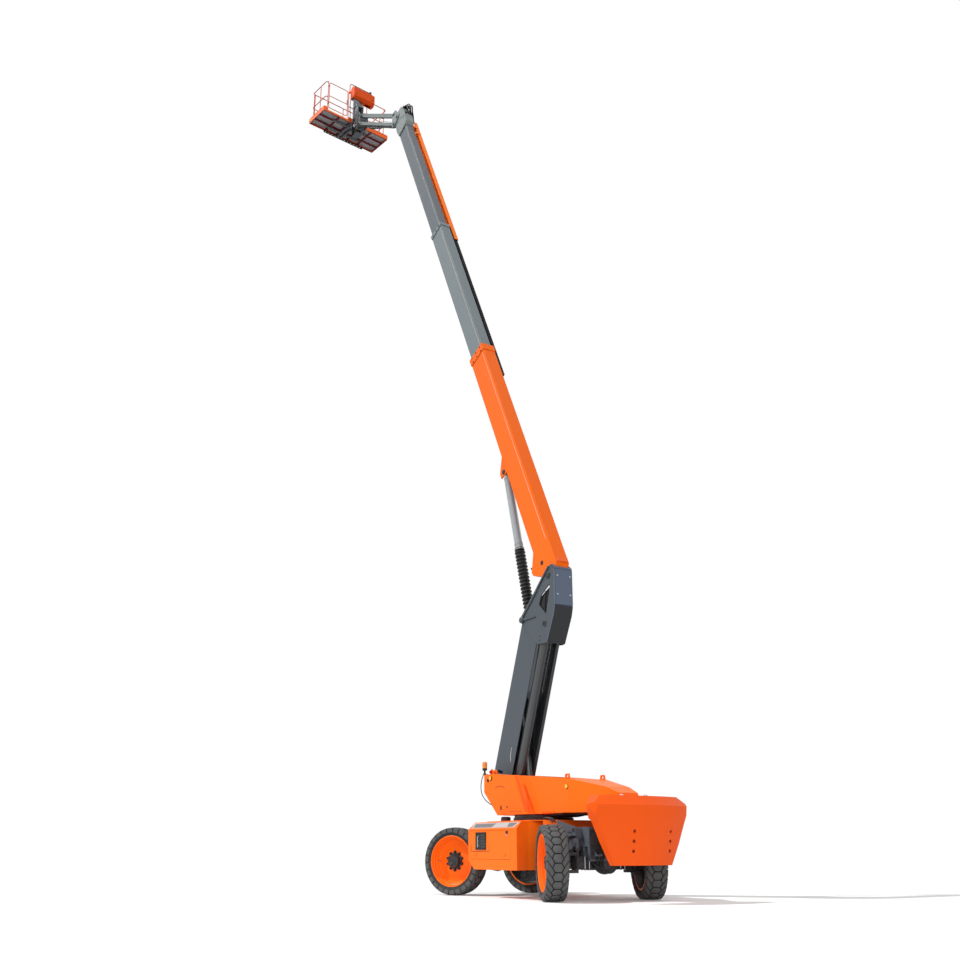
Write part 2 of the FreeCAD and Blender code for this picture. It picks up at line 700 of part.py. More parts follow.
def fly_boom():
    skin, bore = tube("fly_width", "fly_height", "fly_wall", "fly_start", "fly_end")
    node("fly_boom", [skin], [bore], BOOM)


def boom_head():
    """Casting at the tip of the inner section, with the level pivot in its nose."""
    tip = size.fly_end
    outline = [(tip - 330, -225), (tip - 30, -270), (tip + 250, -190), (tip + 340, -150),
               (tip + 490, -130), (tip + 560, -20), (tip + 570, 80), (tip + 530, 260),
               (tip + 150, 330), (tip - 250, 300), (tip - 350, 225)]
    shell = side_plate(outline, 240)
    seat = block(2000, "fly_width", "fly_height", tip - 2000, 0, -size.fly_height / 2)
    room = side_plate([(tip - 5, -200), (tip + 320, -120), (tip + 470, -100), (tip + 520, 0),
                       (tip + 525, 80), (tip + 490, 225), (tip + 150, 290), (tip - 5, 270)], 196)
    level = BOOM.inverse().multVec(FreeCAD.Vector(size.level_x, 0, size.level_z))
    node("boom_head", [shell], [seat, room, across(35.6, 400, level.x, level.z)], BOOM)


def hose_tray():
    """Orange channel on the inner section that slides over the cable track."""
    start = 10650
    length = size.fly_end - 120 - start
    lane = -(size.base_width / 2 + 75)
    outer = block(length, 100, 130, start, lane, 120)
    inner = block(length + 20, 86, 116, start - 10, lane, 127)
    slot = block(length + 20, 60, 70, start - 10, lane + 60, 155)
    tabs = [block(80, 145, 12, x, -172, 250) for x in (size.fly_end - 780, size.fly_end - 460)]
    feet = [block(80, 12, 70, x, -106, 190) for x in (size.fly_end - 780, size.fly_end - 460)]
    node("hose_tray", [outer] + tabs + feet, [inner, slot], BOOM)


# ---------------------------------------------------------------- boom lift cylinder
def boom_point(x, z):
    point = BOOM.multVec(FreeCAD.Vector(x, 0, z))
    return point.x, point.z


def boom_cylinder():
    """Barrel on the boom, rod eye on the knuckle, with a bellows over the rod."""
    foot = boom_point(size.lug_along, -size.lug_below)
    eye = (size.eye_x, size.eye_z)
    cylinder_pair("boom_lift", foot, eye, 82, 1860, 1750, 42, 64)
    span = math.hypot(eye[0] - foot[0], eye[1] - foot[1])
    angle = math.degrees(math.atan2(eye[1] - foot[1], eye[0] - foot[0]))
    start = 1825
    skin = along(112, span - 150 - start, start)
    node("boom_lift_bellows", [skin],
         [along(96, span - 175 - start, start - 5), along(42, 400, span - 300)],
         pitched(foot[0], foot[1], angle))


# ---------------------------------------------------------------- jib
JIB_FOOT = (size.jib_foot_x, size.jib_foot_z)
JIB = pitched(*JIB_FOOT, size.jib_angle)
JIB_TIP_POINT = JIB.multVec(FreeCAD.Vector(size.jib_length, 0, 0))
JIB_TIP = (JIB_TIP_POINT.x, JIB_TIP_POINT.z)


def jib_bracket():
    foot_x, foot_z = JIB_FOOT
    top_x = foot_x + size.jib_shift
    top_z = foot_z + size.jib_rise
    outline = [(size.level_x - 80, size.level_z - 60), (size.level_x - 80, size.level_z + 60),
               (top_x - 110, top_z + 90), (top_x + 70, top_z + 70), (foot_x + 110, foot_z + 60),
               (foot_x + 90, foot_z - 80), (foot_x - 60, foot_z - 80)]
    plates = both(lambda y: side_plate(outline, 18, y), 141)
    pins = [across(35, 282, size.level_x, size.level_z), across(30, 282, foot_x, foot_z),
            across(30, 282, top_x, top_z)]
    node("jib_bracket", plates + pins)


def bar_outline(length, half):
    return [(-60, -half + 15), (-40, -half), (length + 40, -half), (length + 60, -half + 15),
            (length + 60, half - 15), (length + 40, half), (-40, half), (-60, half - 15)]


def jib_arms():
    length = size.jib_length
    bars = both(lambda y: side_plate(bar_outline(length, 45), 40, y), 105)
    floor = block(1000, 220, 18, 1750, 0, -45)
    bores = [across(30.6, 400, x, 0) for x in (0, length)]
    node("jib_lower_arms", bars + [floor], bores, JIB)
    upper = side_plate(bar_outline(length, 50), 110)
    bores = [across(30.6, 400, x, 0) for x in (0, length)]
    bores.append(block(length + 200, 94, 84, -100, 0, -42))
    node("jib_upper_arm", [upper], bores,
         pitched(JIB_FOOT[0] + size.jib_shift, JIB_FOOT[1] + size.jib_rise, size.jib_angle))


ROD_PIVOT = (JIB_TIP[0] + 0.25 * size.jib_shift, JIB_TIP[1] + 0.25 * size.jib_rise)


def jib_cylinder():
    cylinder_pair("jib_lift", JIB_FOOT, ROD_PIVOT, 52, 1560, 1440, 28, 42)


# ---------------------------------------------------------------- platform
POST_TOP = 23400


def platform_support():
    """Level post at the jib's end that carries the platform's rotator."""
    low_x, low_z = JIB_TIP
    high_x = low_x + size.jib_shift
    high_z = low_z + size.jib_rise
    back = low_x + 230
    ear = [(low_x - 65, low_z - 65), (back, low_z - 65), (back, high_z + 130),
           (high_x - 40, high_z + 70), (high_x - 65, high_z)]
    ears = both(lambda y: side_plate(ear, 16, y), 139)
    pins = both(lambda y: across(30, 80, low_x, low_z, y), 100)
    pins.append(across(30, 280, high_x, high_z))
    lug = [(ROD_PIVOT[0] - 50, ROD_PIVOT[1] - 45), (back - 20, ROD_PIVOT[1] - 60),
           (back - 20, ROD_PIVOT[1] + 60), (ROD_PIVOT[0] - 50, ROD_PIVOT[1] + 45)]
    lugs = both(lambda y: side_plate(lug, 16, y), 70)
    plate = block(35, 262, high_z + 130 - low_z + 65, back - 35, 0, low_z - 65)
    post = block(size.swivel_x + 60 - back, 200, POST_TOP - 22470, back, 0, 22470)
    room = block(size.swivel_x + 100 - back, 170, POST_TOP - 22760, back - 60, 0, 22700)
    rotator = upright(115, 100, size.swivel_x, 0, 22375)
    cap = upright(95, 50, size.swivel_x, 0, POST_TOP)
    node("platform_support", ears + pins + lugs + [less(fuse([plate, post]), room), rotator, cap])


YAW = FreeCAD.Rotation(UP, size.platform_yaw)
DECK = at(size.swivel_x, 0, size.floor_high, YAW)
FLOOR = at(size.swivel_x, 0, size.floor_high, YAW).multiply(at(0, size.platform_side, 0))
FLOOR_LOW = -30
PANEL_LOW = 30
CONSOLE_LOW = 830
GATE_LOW = 315
GATE_HIGH = 1065


def platform_arm():
    """Carrier that turns on the rotator: a plate above, a plate below and a back."""
    low = 22365 - size.floor_high
    high = POST_TOP + 60 - size.floor_high
    plates = [upright(120, 8, 0, 0, low), upright(105, 30, 0, 0, high)]
    back = block(40, 200, CONSOLE_LOW - low, 165, 0, low)
    webs = [block(190, 200, 8, 0, 0, low), block(190, 200, 30, 0, 0, high)]
    beams = [block(980, 60, 60, 190, sign * 70, FLOOR_LOW - 60) for sign in (1, -1)]
    node("platform_arm", plates + [back] + webs + beams, placement=DECK)


def platform_floor():
    near = size.platform_near
    deep = size.platform_deep
    skirt = block("platform_deep", "platform_wide", "toe_board", near, 0, FLOOR_LOW)
    hollow = block("platform_deep - 50", "platform_wide - 50", "toe_board + 10", near + 25, 0,
                   FLOOR_LOW - 5)
    beams = [block("platform_deep - 40", 40, 55, near + 20, y, FLOOR_LOW + 5)
             for y in (-610, -205, 205, 610)]
    beams += [block(35, "platform_wide - 40", 55, near + deep * part, 0, FLOOR_LOW + 5)
              for part in (0.33, 0.66)]
    gap = block(60, GATE_HIGH - GATE_LOW, 160, near - 20, (GATE_HIGH + GATE_LOW) / 2, 40)
    node("platform_floor", [less(skirt, hollow)] + beams, [gap], FLOOR)


def floor_panels():
    near = size.platform_near
    node("floor_panels", [block("platform_deep - 50", "platform_wide - 50", 8, near + 25, 0,
                                PANEL_LOW)], placement=FLOOR)


def bent_rail(corners, bend, radius):
    """A round tube along straight runs in one plane with rounded bends."""
    points = [FreeCAD.Vector(*corner) for corner in corners]
    edges = []
    last = points[0]
    for before, corner, after in zip(points, points[1:], points[2:]):
        back = (before - corner).normalize() * bend
        ahead = (after - corner).normalize() * bend
        middle = corner + (back + ahead) * (1 - math.sqrt(0.5))
        edges.append(Part.makeLine(last, corner + back))
        edges.append(Part.Arc(corner + back, middle, corner + ahead).toShape())
        last = corner + ahead
    edges.append(Part.makeLine(last, points[-1]))
    path = doc.addObject("Part::Feature", "Path")
    path.Shape = Part.Wire(edges)
    ring = doc.addObject("Part::Circle", "Profile")
    bind(ring, "Radius", radius)
    heading = points[1] - points[0]
    ring.Placement = FreeCAD.Placement(points[0], FreeCAD.Rotation(UP, heading))
    rail = doc.addObject("Part::Sweep", "Rail")
    rail.Sections = [ring]
    rail.Spine = (path, [f"Edge{k + 1}" for k in range(len(edges))])
    rail.Solid = True
    rail.Transition = "Round corner"
    return rail


def guard_rails():
    """Top and middle rails on posts, a gap for the gate and a hand guard by the console."""
    near = size.platform_near + 42
    far = size.platform_near + size.platform_deep - 42
    half = size.platform_wide / 2 - 72
    low = PANEL_LOW + 8
    top = size.rail_height
    bars = []
    for z in (top, top * 0.5):
        corners = [(near, GATE_LOW - 10, z), (near, -half, z), (far, -half, z), (far, half, z),
                   (near, half, z), (near, GATE_HIGH + 10, z)]
        bars.append(bent_rail(corners, 70, "rail_radius"))
    posts = [(far, half - 75), (far, 0), (far, 75 - half), (near, 75 - half), (near, -400),
             (near, GATE_LOW - 10), (near, GATE_HIGH + 10), (near + 340, half),
             (far - 90, half), (near + 340, -half), (far - 90, -half)]
    for x, y in posts:
        bars.append(upright("rail_radius - 1", top - low, x, y, low))
    guard = [(near, -580, top), (near, -580, top + 350), (near, 275, top + 350),
             (near, 275, top)]
    bars.append(bent_rail(guard, 90, "rail_radius - 1"))
    node("guard_rails", bars, placement=FLOOR)


def platform_gate():
    radius = 12
    near = size.platform_near + 42
    low = 170
    top = size.rail_height
    wide = GATE_HIGH - GATE_LOW - 60
    middle = (GATE_HIGH + GATE_LOW) / 2
    start = (near, middle, low)
    corners = [start, (near, middle + wide / 2, low), (near, middle + wide / 2, top),
               (near, middle - wide / 2, top), (near, middle - wide / 2, low), start]
    bars = [bent_rail(corners, 60, radius), across(radius - 1, wide, near, top * 0.55, middle)]
    node("platform_gate", bars, placement=FLOOR)


def console():
    """Covered control console behind the near rail, on the platform's carrier."""
    low = CONSOLE_LOW
    outline = [(85, low + 100), (145, low), (300, low), (315, low + 50), (315, 1180),
               (265, 1270), (165, 1290), (85, 1220)]
    room = [(97, low + 104), (151, low + 12), (292, low + 12), (303, low + 52), (303, 1176),
            (257, 1260), (167, 1278), (97, 1215)]
    cover = outline_body(outline, "XZ_Plane", 780, at(0, -250, 0))
    hollow = outline_body(room, "XZ_Plane", 756, at(0, -250, 0))
    entry = block(110, 200, 40, 170, -450, low - 10)
    node("console_cover", [cover], [hollow, entry], DECK)


# ---------------------------------------------------------------- all pieces
for each_end in ENDS:
    axle(each_end)
    axle_strut(each_end)
    steer_rod(each_end)
    for each_side in SIDES:
        tyre(each_end, each_side)
        rim(each_end, each_side)
        knuckle(each_end, each_side)
chassis_frame()
chassis_deck()
slew_ring()
for each_side in SIDES:
    hood(each_side)
    hood_door(each_side)
engine()
hydraulic_tank()
turntable_frame()
counterweight()
beacon()
riser_beam()
level_links()
riser_cylinder()
knuckle_frame()
knuckle_covers()
base_boom()
mid_boom()
cable_track()
fly_boom()
boom_head()
hose_tray()
boom_cylinder()
jib_bracket()
jib_arms()
jib_cylinder()
platform_support()
platform_arm()
platform_floor()
floor_panels()
guard_rails()
platform_gate()
console()

doc.recompute()
faults = [thing.Name for thing in doc.Objects
          if "Invalid" in thing.State or "Error" in thing.State]
if faults:
    raise RuntimeError(f"failed objects: {faults}")
for label, solid in NODES.items():
    shape = solid.Shape
    if shape.isNull() or not shape.isValid() or not shape.Solids:
        raise RuntimeError(f"bad shape: {label}")
    shape.exportStep(f"parts/{label}.step")
    box = shape.BoundBox
    print(f"{label:24s} solids {len(shape.Solids)} volume {shape.Volume / 1e9:7.4f} "
          f"x {box.XMin:8.0f} {box.XMax:8.0f} y {box.YMin:7.0f} {box.YMax:7.0f} "
          f"z {box.ZMin:8.0f} {box.ZMax:8.0f}")
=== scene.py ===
"""Looks of the boom lift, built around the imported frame, in metres."""
import json
import math

import bmesh
import bpy
from mathutils import Matrix, Vector


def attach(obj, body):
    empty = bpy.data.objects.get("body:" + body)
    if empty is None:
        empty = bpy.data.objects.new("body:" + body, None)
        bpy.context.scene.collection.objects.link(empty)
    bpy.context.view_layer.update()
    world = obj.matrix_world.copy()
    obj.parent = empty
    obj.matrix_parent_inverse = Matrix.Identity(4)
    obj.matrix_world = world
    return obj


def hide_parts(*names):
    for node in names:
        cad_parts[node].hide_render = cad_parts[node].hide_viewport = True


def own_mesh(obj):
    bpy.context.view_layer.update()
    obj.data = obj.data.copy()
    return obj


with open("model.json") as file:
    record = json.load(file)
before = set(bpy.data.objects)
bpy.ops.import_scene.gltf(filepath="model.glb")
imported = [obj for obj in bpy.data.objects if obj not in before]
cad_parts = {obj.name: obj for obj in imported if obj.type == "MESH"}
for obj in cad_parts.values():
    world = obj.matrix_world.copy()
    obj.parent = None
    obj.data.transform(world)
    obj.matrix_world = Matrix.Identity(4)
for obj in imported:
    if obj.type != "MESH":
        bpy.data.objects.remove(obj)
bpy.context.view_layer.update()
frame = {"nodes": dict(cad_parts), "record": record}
joints = {joint["name"]: joint for joint in frame["record"]["behaviour"]["joints"]}
X = Vector((1, 0, 0))
Y = Vector((0, 1, 0))
Z = Vector((0, 0, 1))


# ---------------------------------------------------------------- camera
def camera():
    """A camera low behind the machine's left rear, looking up along the boom."""
    lens = bpy.data.cameras.new("camera")
    lens.sensor_width = 36.0
    lens.lens = 40.24
    lens.clip_end = 500.0
    eye = bpy.data.objects.new("camera", lens)
    bpy.context.collection.objects.link(eye)
    eye.location = (-16.92, 11.73, 0.82)
    turn, rise = math.radians(-31.5), math.radians(19.1)
    look = Vector((math.cos(rise) * math.cos(turn), math.cos(rise) * math.sin(turn),
                   math.sin(rise)))
    eye.rotation_euler = look.to_track_quat("-Z", "Y").to_euler()
    bpy.context.scene.camera = eye


camera()


# ---------------------------------------------------------------- shader groups
def feed(tree, given, entry):
    """Sets a node's input to a value, or links another node's output to it."""
    if isinstance(given, (int, float, tuple)):
        entry.default_value = given
    else:
        tree.links.new(given, entry)


def math_node(tree, how, a, b, clamp=False):
    """One step of arithmetic between two numbers."""
    made = tree.nodes.new("ShaderNodeMath")
    made.operation = how
    made.use_clamp = clamp
    feed(tree, a, made.inputs[0])
    feed(tree, b, made.inputs[1])
    return made.outputs[0]


def times(tree, a, b, clamp=False):
    """The product of two numbers."""
    return math_node(tree, "MULTIPLY", a, b, clamp)


def mix_colour(tree, share, first, second):
    """A share of the second colour laid over the first."""
    made = tree.nodes.new("ShaderNodeMix")
    made.data_type = "RGBA"
    for number, given in ((0, share), (6, first), (7, second)):
        feed(tree, given, made.inputs[number])
    return made.outputs[2]


def noise(tree, where, scale, detail):
    """Soft random patches of a given size."""
    made = tree.nodes.new("ShaderNodeTexNoise")
    made.inputs["Detail"].default_value = detail
    made.inputs["Roughness"].default_value = 0.55
    feed(tree, scale, made.inputs["Scale"])
    tree.links.new(where, made.inputs["Vector"])
    return made.outputs["Fac"]


def ramp(tree, given, low, high):
    """Rises smoothly from 0 at low to 1 at high."""
    made = tree.nodes.new("ShaderNodeMapRange")
    made.interpolation_type = "SMOOTHSTEP"
    made.inputs["From Min"].default_value = low
    made.inputs["From Max"].default_value = high
    tree.links.new(given, made.inputs["Value"])
    return made.outputs["Result"]


def eased_normal(tree, radius):
    """The surface's normal, turned over its edges within a radius."""
    made = tree.nodes.new("ShaderNodeBevel")
    made.samples = 4
    made.inputs["Radius"].default_value = radius
    return made.outputs[0]


def height_of(tree, vector):
    """The Z part of a vector."""
    parts = tree.nodes.new("ShaderNodeSeparateXYZ")
    tree.links.new(vector, parts.inputs[0])
    return parts.outputs["Z"]


def weathering_group():
    """Colour drift, worn edges, grime and dust that gathers near the ground."""
    group = bpy.data.node_groups.new("weathering", "ShaderNodeTree")
    for name, kind, start in (("Colour", "Color", (0.8, 0.8, 0.8, 1)),
                              ("Worn Colour", "Color", (0.3, 0.3, 0.3, 1)),
                              ("Dust Colour", "Color", (0.40, 0.375, 0.35, 1)),
                              ("Drift", "Float", 0.08), ("Wear", "Float", 0.3),
                              ("Dust", "Float", 0.2), ("Roughness", "Float", 0.4),
                              ("Grain Scale", "Float", 60.0)):
        group.interface.new_socket(name=name, in_out="INPUT",
                                   socket_type=f"NodeSocket{kind}").default_value = start
    for name, kind in (("Colour", "Color"), ("Roughness", "Float"), ("Height", "Float")):
        group.interface.new_socket(name=name, in_out="OUTPUT", socket_type=f"NodeSocket{kind}")
    given = group.nodes.new("NodeGroupInput").outputs
    out = group.nodes.new("NodeGroupOutput")
    place = group.nodes.new("ShaderNodeTexCoord").outputs["Object"]
    normal = group.nodes.new("ShaderNodeNewGeometry").outputs["Normal"]
    broad = noise(group, place, 0.9, 5.0)
    fine = noise(group, place, 26.0, 6.0)
    grain = noise(group, place, given["Grain Scale"], 2.0)

    # Paint chips off where the eased normal leaves the flat one, which is at an edge.
    facing = group.nodes.new("ShaderNodeVectorMath")
    facing.operation = "DOT_PRODUCT"
    group.links.new(eased_normal(group, 0.008), facing.inputs[0])
    group.links.new(normal, facing.inputs[1])
    edge = ramp(group, math_node(group, "SUBTRACT", 1.0, facing.outputs["Value"]), 0.02, 0.22)
    chipped = times(group, edge, ramp(group, fine, 0.52, 0.66))
    worn = times(group, chipped, given["Wear"], clamp=True)

    # The colour drifts lighter and darker in broad patches.
    shift = times(group, math_node(group, "SUBTRACT", broad, 0.5), given["Drift"])
    bright = math_node(group, "ADD", 1.0, times(group, shift, 2.0))
    tone = group.nodes.new("ShaderNodeHueSaturation")
    group.links.new(given["Colour"], tone.inputs["Color"])
    group.links.new(bright, tone.inputs["Value"])

    # Dust lies near the ground and on faces that look up.
    low = math_node(group, "SUBTRACT", 1.0, ramp(group, height_of(group, place), 0.1, 1.7))
    upward = ramp(group, height_of(group, normal), 0.3, 0.95)
    settled = math_node(group, "ADD", times(group, low, 0.8), times(group, upward, 0.25))
    patchy = times(group, settled, ramp(group, fine, 0.35, 0.75))
    dusty = times(group, patchy, given["Dust"], clamp=True)
    coloured = mix_colour(group, worn, tone.outputs[0], given["Worn Colour"])
    group.links.new(mix_colour(group, dusty, coloured, given["Dust Colour"]),
                    out.inputs["Colour"])
    matt = math_node(group, "ADD", given["Roughness"], times(group, dusty, 0.4))
    streak = times(group, math_node(group, "SUBTRACT", fine, 0.5), 0.16)
    group.links.new(math_node(group, "ADD", matt, streak, clamp=True), out.inputs["Roughness"])
    group.links.new(grain, out.inputs["Height"])
    return group


WEATHERING = weathering_group()


def plain_finish(name):
    """A new material, with its node tree and its shader."""
    made = bpy.data.materials.new(name)
    made.use_nodes = True
    return made, made.node_tree, made.node_tree.nodes["Principled BSDF"]


def weathered(name, colour, rough, worn=(0.25, 0.25, 0.25), drift=0.06, wear=0.35, dust=0.15,
              grain=60.0, bump=0.04, metallic=0.0, coat=0.0, gleam=0.28):
    """A material whose colour, roughness and bump come from the weathering group."""
    made, tree, shader = plain_finish(name)
    used = tree.nodes.new("ShaderNodeGroup")
    used.node_tree = WEATHERING
    for label, value in (("Colour", (*colour, 1)), ("Worn Colour", (*worn, 1)), ("Drift", drift),
                         ("Wear", wear), ("Dust", dust), ("Roughness", rough),
                         ("Grain Scale", grain)):
        used.inputs[label].default_value = value
    tree.links.new(used.outputs["Colour"], shader.inputs["Base Color"])
    tree.links.new(used.outputs["Roughness"], shader.inputs["Roughness"])
    relief = tree.nodes.new("ShaderNodeBump")
    relief.inputs["Strength"].default_value = bump
    relief.inputs["Distance"].default_value = 0.002
    tree.links.new(used.outputs["Height"], relief.inputs["Height"])
    tree.links.new(eased_normal(tree, 0.003), relief.inputs["Normal"])
    tree.links.new(relief.outputs[0], shader.inputs["Normal"])
    for label, value in (("Specular IOR Level", gleam), ("Metallic", metallic),
                         ("Coat Weight", coat), ("Coat Roughness", 0.12)):
        shader.inputs[label].default_value = value
    return made


ORANGE = weathered("orange_paint", (0.95, 0.148, 0.005), 0.42, worn=(0.55, 0.12, 0.03),
                   drift=0.04, wear=0.25, dust=0.012, gleam=0.16)
# A darker copy of the orange paint: painted shade on the counterweight and on slanted bands of the
# side plates.
SHADED_ORANGE = weathered("shaded_orange_paint", (0.80, 0.088, 0.002), 0.40,
                           worn=(0.55, 0.10, 0.03), dust=0.008, gleam=0.16)
DEEP_ORANGE = weathered("deep_orange_paint", (0.90, 0.13, 0.010), 0.45, worn=(0.4, 0.1, 0.03),
                        dust=0.12, coat=0.1)
CONSOLE_ORANGE = weathered("console_orange", (0.80, 0.085, 0.006), 0.40, worn=(0.5, 0.1, 0.03),
                           dust=0.0, grain=240.0, gleam=0.16)
RAIL_ORANGE = weathered("rail_orange_paint", (0.62, 0.075, 0.030), 0.42, dust=0.0, coat=0.1)
DEEP_RED = weathered("red_oxide_paint", (0.26, 0.018, 0.026), 0.5, dust=0.0)
BOOM_GREY = weathered("boom_grey_paint", (0.165, 0.200, 0.215), 0.45, worn=(0.30, 0.31, 0.31),
                      drift=0.05, dust=0.03, coat=0.1)
FLY_GREY = weathered("fly_grey_paint", (0.112, 0.130, 0.150), 0.45, worn=(0.30, 0.31, 0.31),
                     drift=0.05, dust=0.02)
# A brighter copy of the orange paint: painted light on the hose tray, which lies in shade.
LIT_TRAY_ORANGE = weathered("tray_orange_painted_light", (1.0, 0.20, 0.012), 0.42, worn=(0.55, 0.12, 0.03),
                        drift=0.04, dust=0.012, gleam=0.16)
RISER_GREY = weathered("riser_grey_paint", (0.058, 0.072, 0.086), 0.45, worn=(0.25, 0.26, 0.27),
                       drift=0.05, dust=0.02, coat=0.05)
COVER_GREY = weathered("cover_grey_paint", (0.098, 0.128, 0.180), 0.42, worn=(0.25, 0.26, 0.27),
                       drift=0.05, dust=0.02)
# A near-black copy of the cover grey: painted shade on the lower cover, which faces down.
SHADED_COVER = weathered("low_cover_painted_shade", (0.020, 0.023, 0.027), 0.45, worn=(0.15, 0.15, 0.15),
                      dust=0.02)
FRAME_GREY = weathered("frame_grey_paint", (0.075, 0.090, 0.110), 0.5, worn=(0.22, 0.22, 0.22),
                       dust=0.20)
HEAD_GREY = weathered("head_grey_paint", (0.22, 0.255, 0.25), 0.48, dust=0.03)
JIB_GREY = weathered("jib_grey_paint", (0.17, 0.20, 0.20), 0.48, dust=0.03)
SUPPORT_GREY = weathered("support_grey_paint", (0.20, 0.22, 0.235), 0.45, dust=0.03)
# Dark glossy paint of the level links, also laid on the riser cylinder as painted shade inside the
# riser.
DARK_LINK_AND_SHADE_PAINT = weathered("link_dark_paint_and_painted_shade", (0.018, 0.020, 0.023), 0.30, worn=(0.07, 0.07, 0.07),
                       dust=0.03, coat=0.5)
# A darkened copy of rod steel: painted shade on the riser cylinder's rod inside the riser.
SHADED_ROD = weathered("painted_shade_rod", (0.10, 0.10, 0.105), 0.35, dust=0.05, metallic=0.5)
DARK_STEEL = weathered("dark_steel", (0.028, 0.030, 0.034), 0.5, worn=(0.16, 0.16, 0.16),
                       dust=0.2, grain=90.0)
# Black paint, also laid inside the rims as painted shade.
BLACK_PAINT_AND_SHADE = weathered("black_paint_and_painted_shade", (0.012, 0.012, 0.014), 0.42, worn=(0.08, 0.08, 0.08),
                        dust=0.15, coat=0.15)
BLACK_PLASTIC = weathered("black_plastic", (0.012, 0.012, 0.013), 0.55, worn=(0.05, 0.05, 0.05),
                          dust=0.06, grain=220.0, bump=0.15)
# Near-black of the shade in seams, holes and gaps: painted shade.
SHADOW_SEAM = weathered("shadow_seam", (0.012, 0.010, 0.010), 0.7, dust=0.0)
# Pale colour for thin lines along the booms: a painted highlight where their rounded edges catch
# the light.
PAINTED_EDGE_HIGHLIGHT = weathered("painted_edge_highlight", (0.80, 0.62, 0.50), 0.4, dust=0.0)
TYRE_RUBBER = weathered("tyre_rubber", (0.022, 0.022, 0.024), 0.75, worn=(0.08, 0.078, 0.076),
                        drift=0.2, wear=0.5, dust=0.10, grain=140.0, bump=0.3)
TREAD_RUBBER = weathered("tread_rubber", (0.075, 0.078, 0.079), 0.8, worn=(0.15, 0.147, 0.144),
                         drift=0.15, wear=0.5, dust=0.08, grain=140.0, bump=0.3)
BELLOWS_RUBBER = weathered("bellows_rubber", (0.012, 0.012, 0.013), 0.45, dust=0.03, grain=120.0)
CHROME = weathered("rod_chrome", (0.75, 0.76, 0.78), 0.12, worn=(0.5, 0.5, 0.5), wear=0.1,
                   dust=0.0, metallic=1.0, bump=0.01)
BARREL = weathered("barrel_silver", (0.33, 0.36, 0.38), 0.40, worn=(0.25, 0.25, 0.25),
                   dust=0.03, coat=0.15)
CAST_IRON = weathered("cast_iron", (0.045, 0.040, 0.038), 0.7, dust=0.25, grain=180.0, bump=0.3)
STEEL = weathered("plain_steel", (0.45, 0.46, 0.47), 0.35, metallic=0.9, dust=0.08)
STRIP_GREY = weathered("strip_light_grey", (0.42, 0.40, 0.39), 0.42, dust=0.04)
STRIP_DARK = weathered("strip_dark_grey", (0.13, 0.13, 0.14), 0.42, dust=0.04)
HOSE = weathered("hose_black", (0.010, 0.010, 0.011), 0.45, dust=0.03, grain=300.0)
RED = weathered("red_plastic", (0.6, 0.02, 0.015), 0.3, dust=0.03)
WHITE = weathered("white_paint", (0.75, 0.75, 0.73), 0.4, dust=0.05)
LIME = weathered("lime_paint", (0.45, 0.60, 0.06), 0.4, dust=0.0)


def holed_sheet(name, colour):
    """Grey sheet with rows of small dark holes."""
    made = weathered(name, colour, 0.5, metallic=0.2, dust=0.0)
    tree = made.node_tree
    shader = tree.nodes["Principled BSDF"]
    place = tree.nodes.new("ShaderNodeTexCoord").outputs["Object"]
    dots = tree.nodes.new("ShaderNodeTexVoronoi")
    dots.inputs["Scale"].default_value = 42.0
    dots.inputs["Randomness"].default_value = 0.0
    tree.links.new(place, dots.inputs["Vector"])
    solid = ramp(tree, dots.outputs["Distance"], 0.26, 0.32)
    paint_link = shader.inputs["Base Color"].links[0].from_socket
    tree.links.new(mix_colour(tree, solid, (0.03, 0.03, 0.032, 1), paint_link),
                   shader.inputs["Base Color"])
    return made


# Its pale grey is partly painted light: lightened for the light the floor's underside reflects.
PANEL_GREY_WITH_PAINTED_LIGHT = holed_sheet("panel_grey", (0.62, 0.61, 0.63))


def lamp_lens(name, colour, strength):
    """Glossy ribbed plastic that glows a little."""
    made, tree, shader = plain_finish(name)
    place = tree.nodes.new("ShaderNodeTexCoord").outputs["Object"]
    ribs = tree.nodes.new("ShaderNodeTexWave")
    ribs.inputs["Scale"].default_value = 22.0
    tree.links.new(place, ribs.inputs["Vector"])
    tree.links.new(mix_colour(tree, ribs.outputs["Fac"], (*colour, 1),
                              (*[0.7 * part for part in colour], 1)),
                   shader.inputs["Base Color"])
    for label, value in (("Roughness", 0.15), ("Coat Weight", 0.6), ("Subsurface Weight", 0.2),
                         ("Emission Strength", strength), ("Emission Color", (*colour, 1))):
        shader.inputs[label].default_value = value
    return made


AMBER = lamp_lens("amber_lens", (0.80, 0.26, 0.015), 0.08)
# The reflectors' faint glow is painted light: a reflector gives no light of its own.
YELLOW_WITH_PAINTED_GLOW = lamp_lens("yellow_reflector_painted_glow", (1.0, 0.55, 0.02), 0.1)


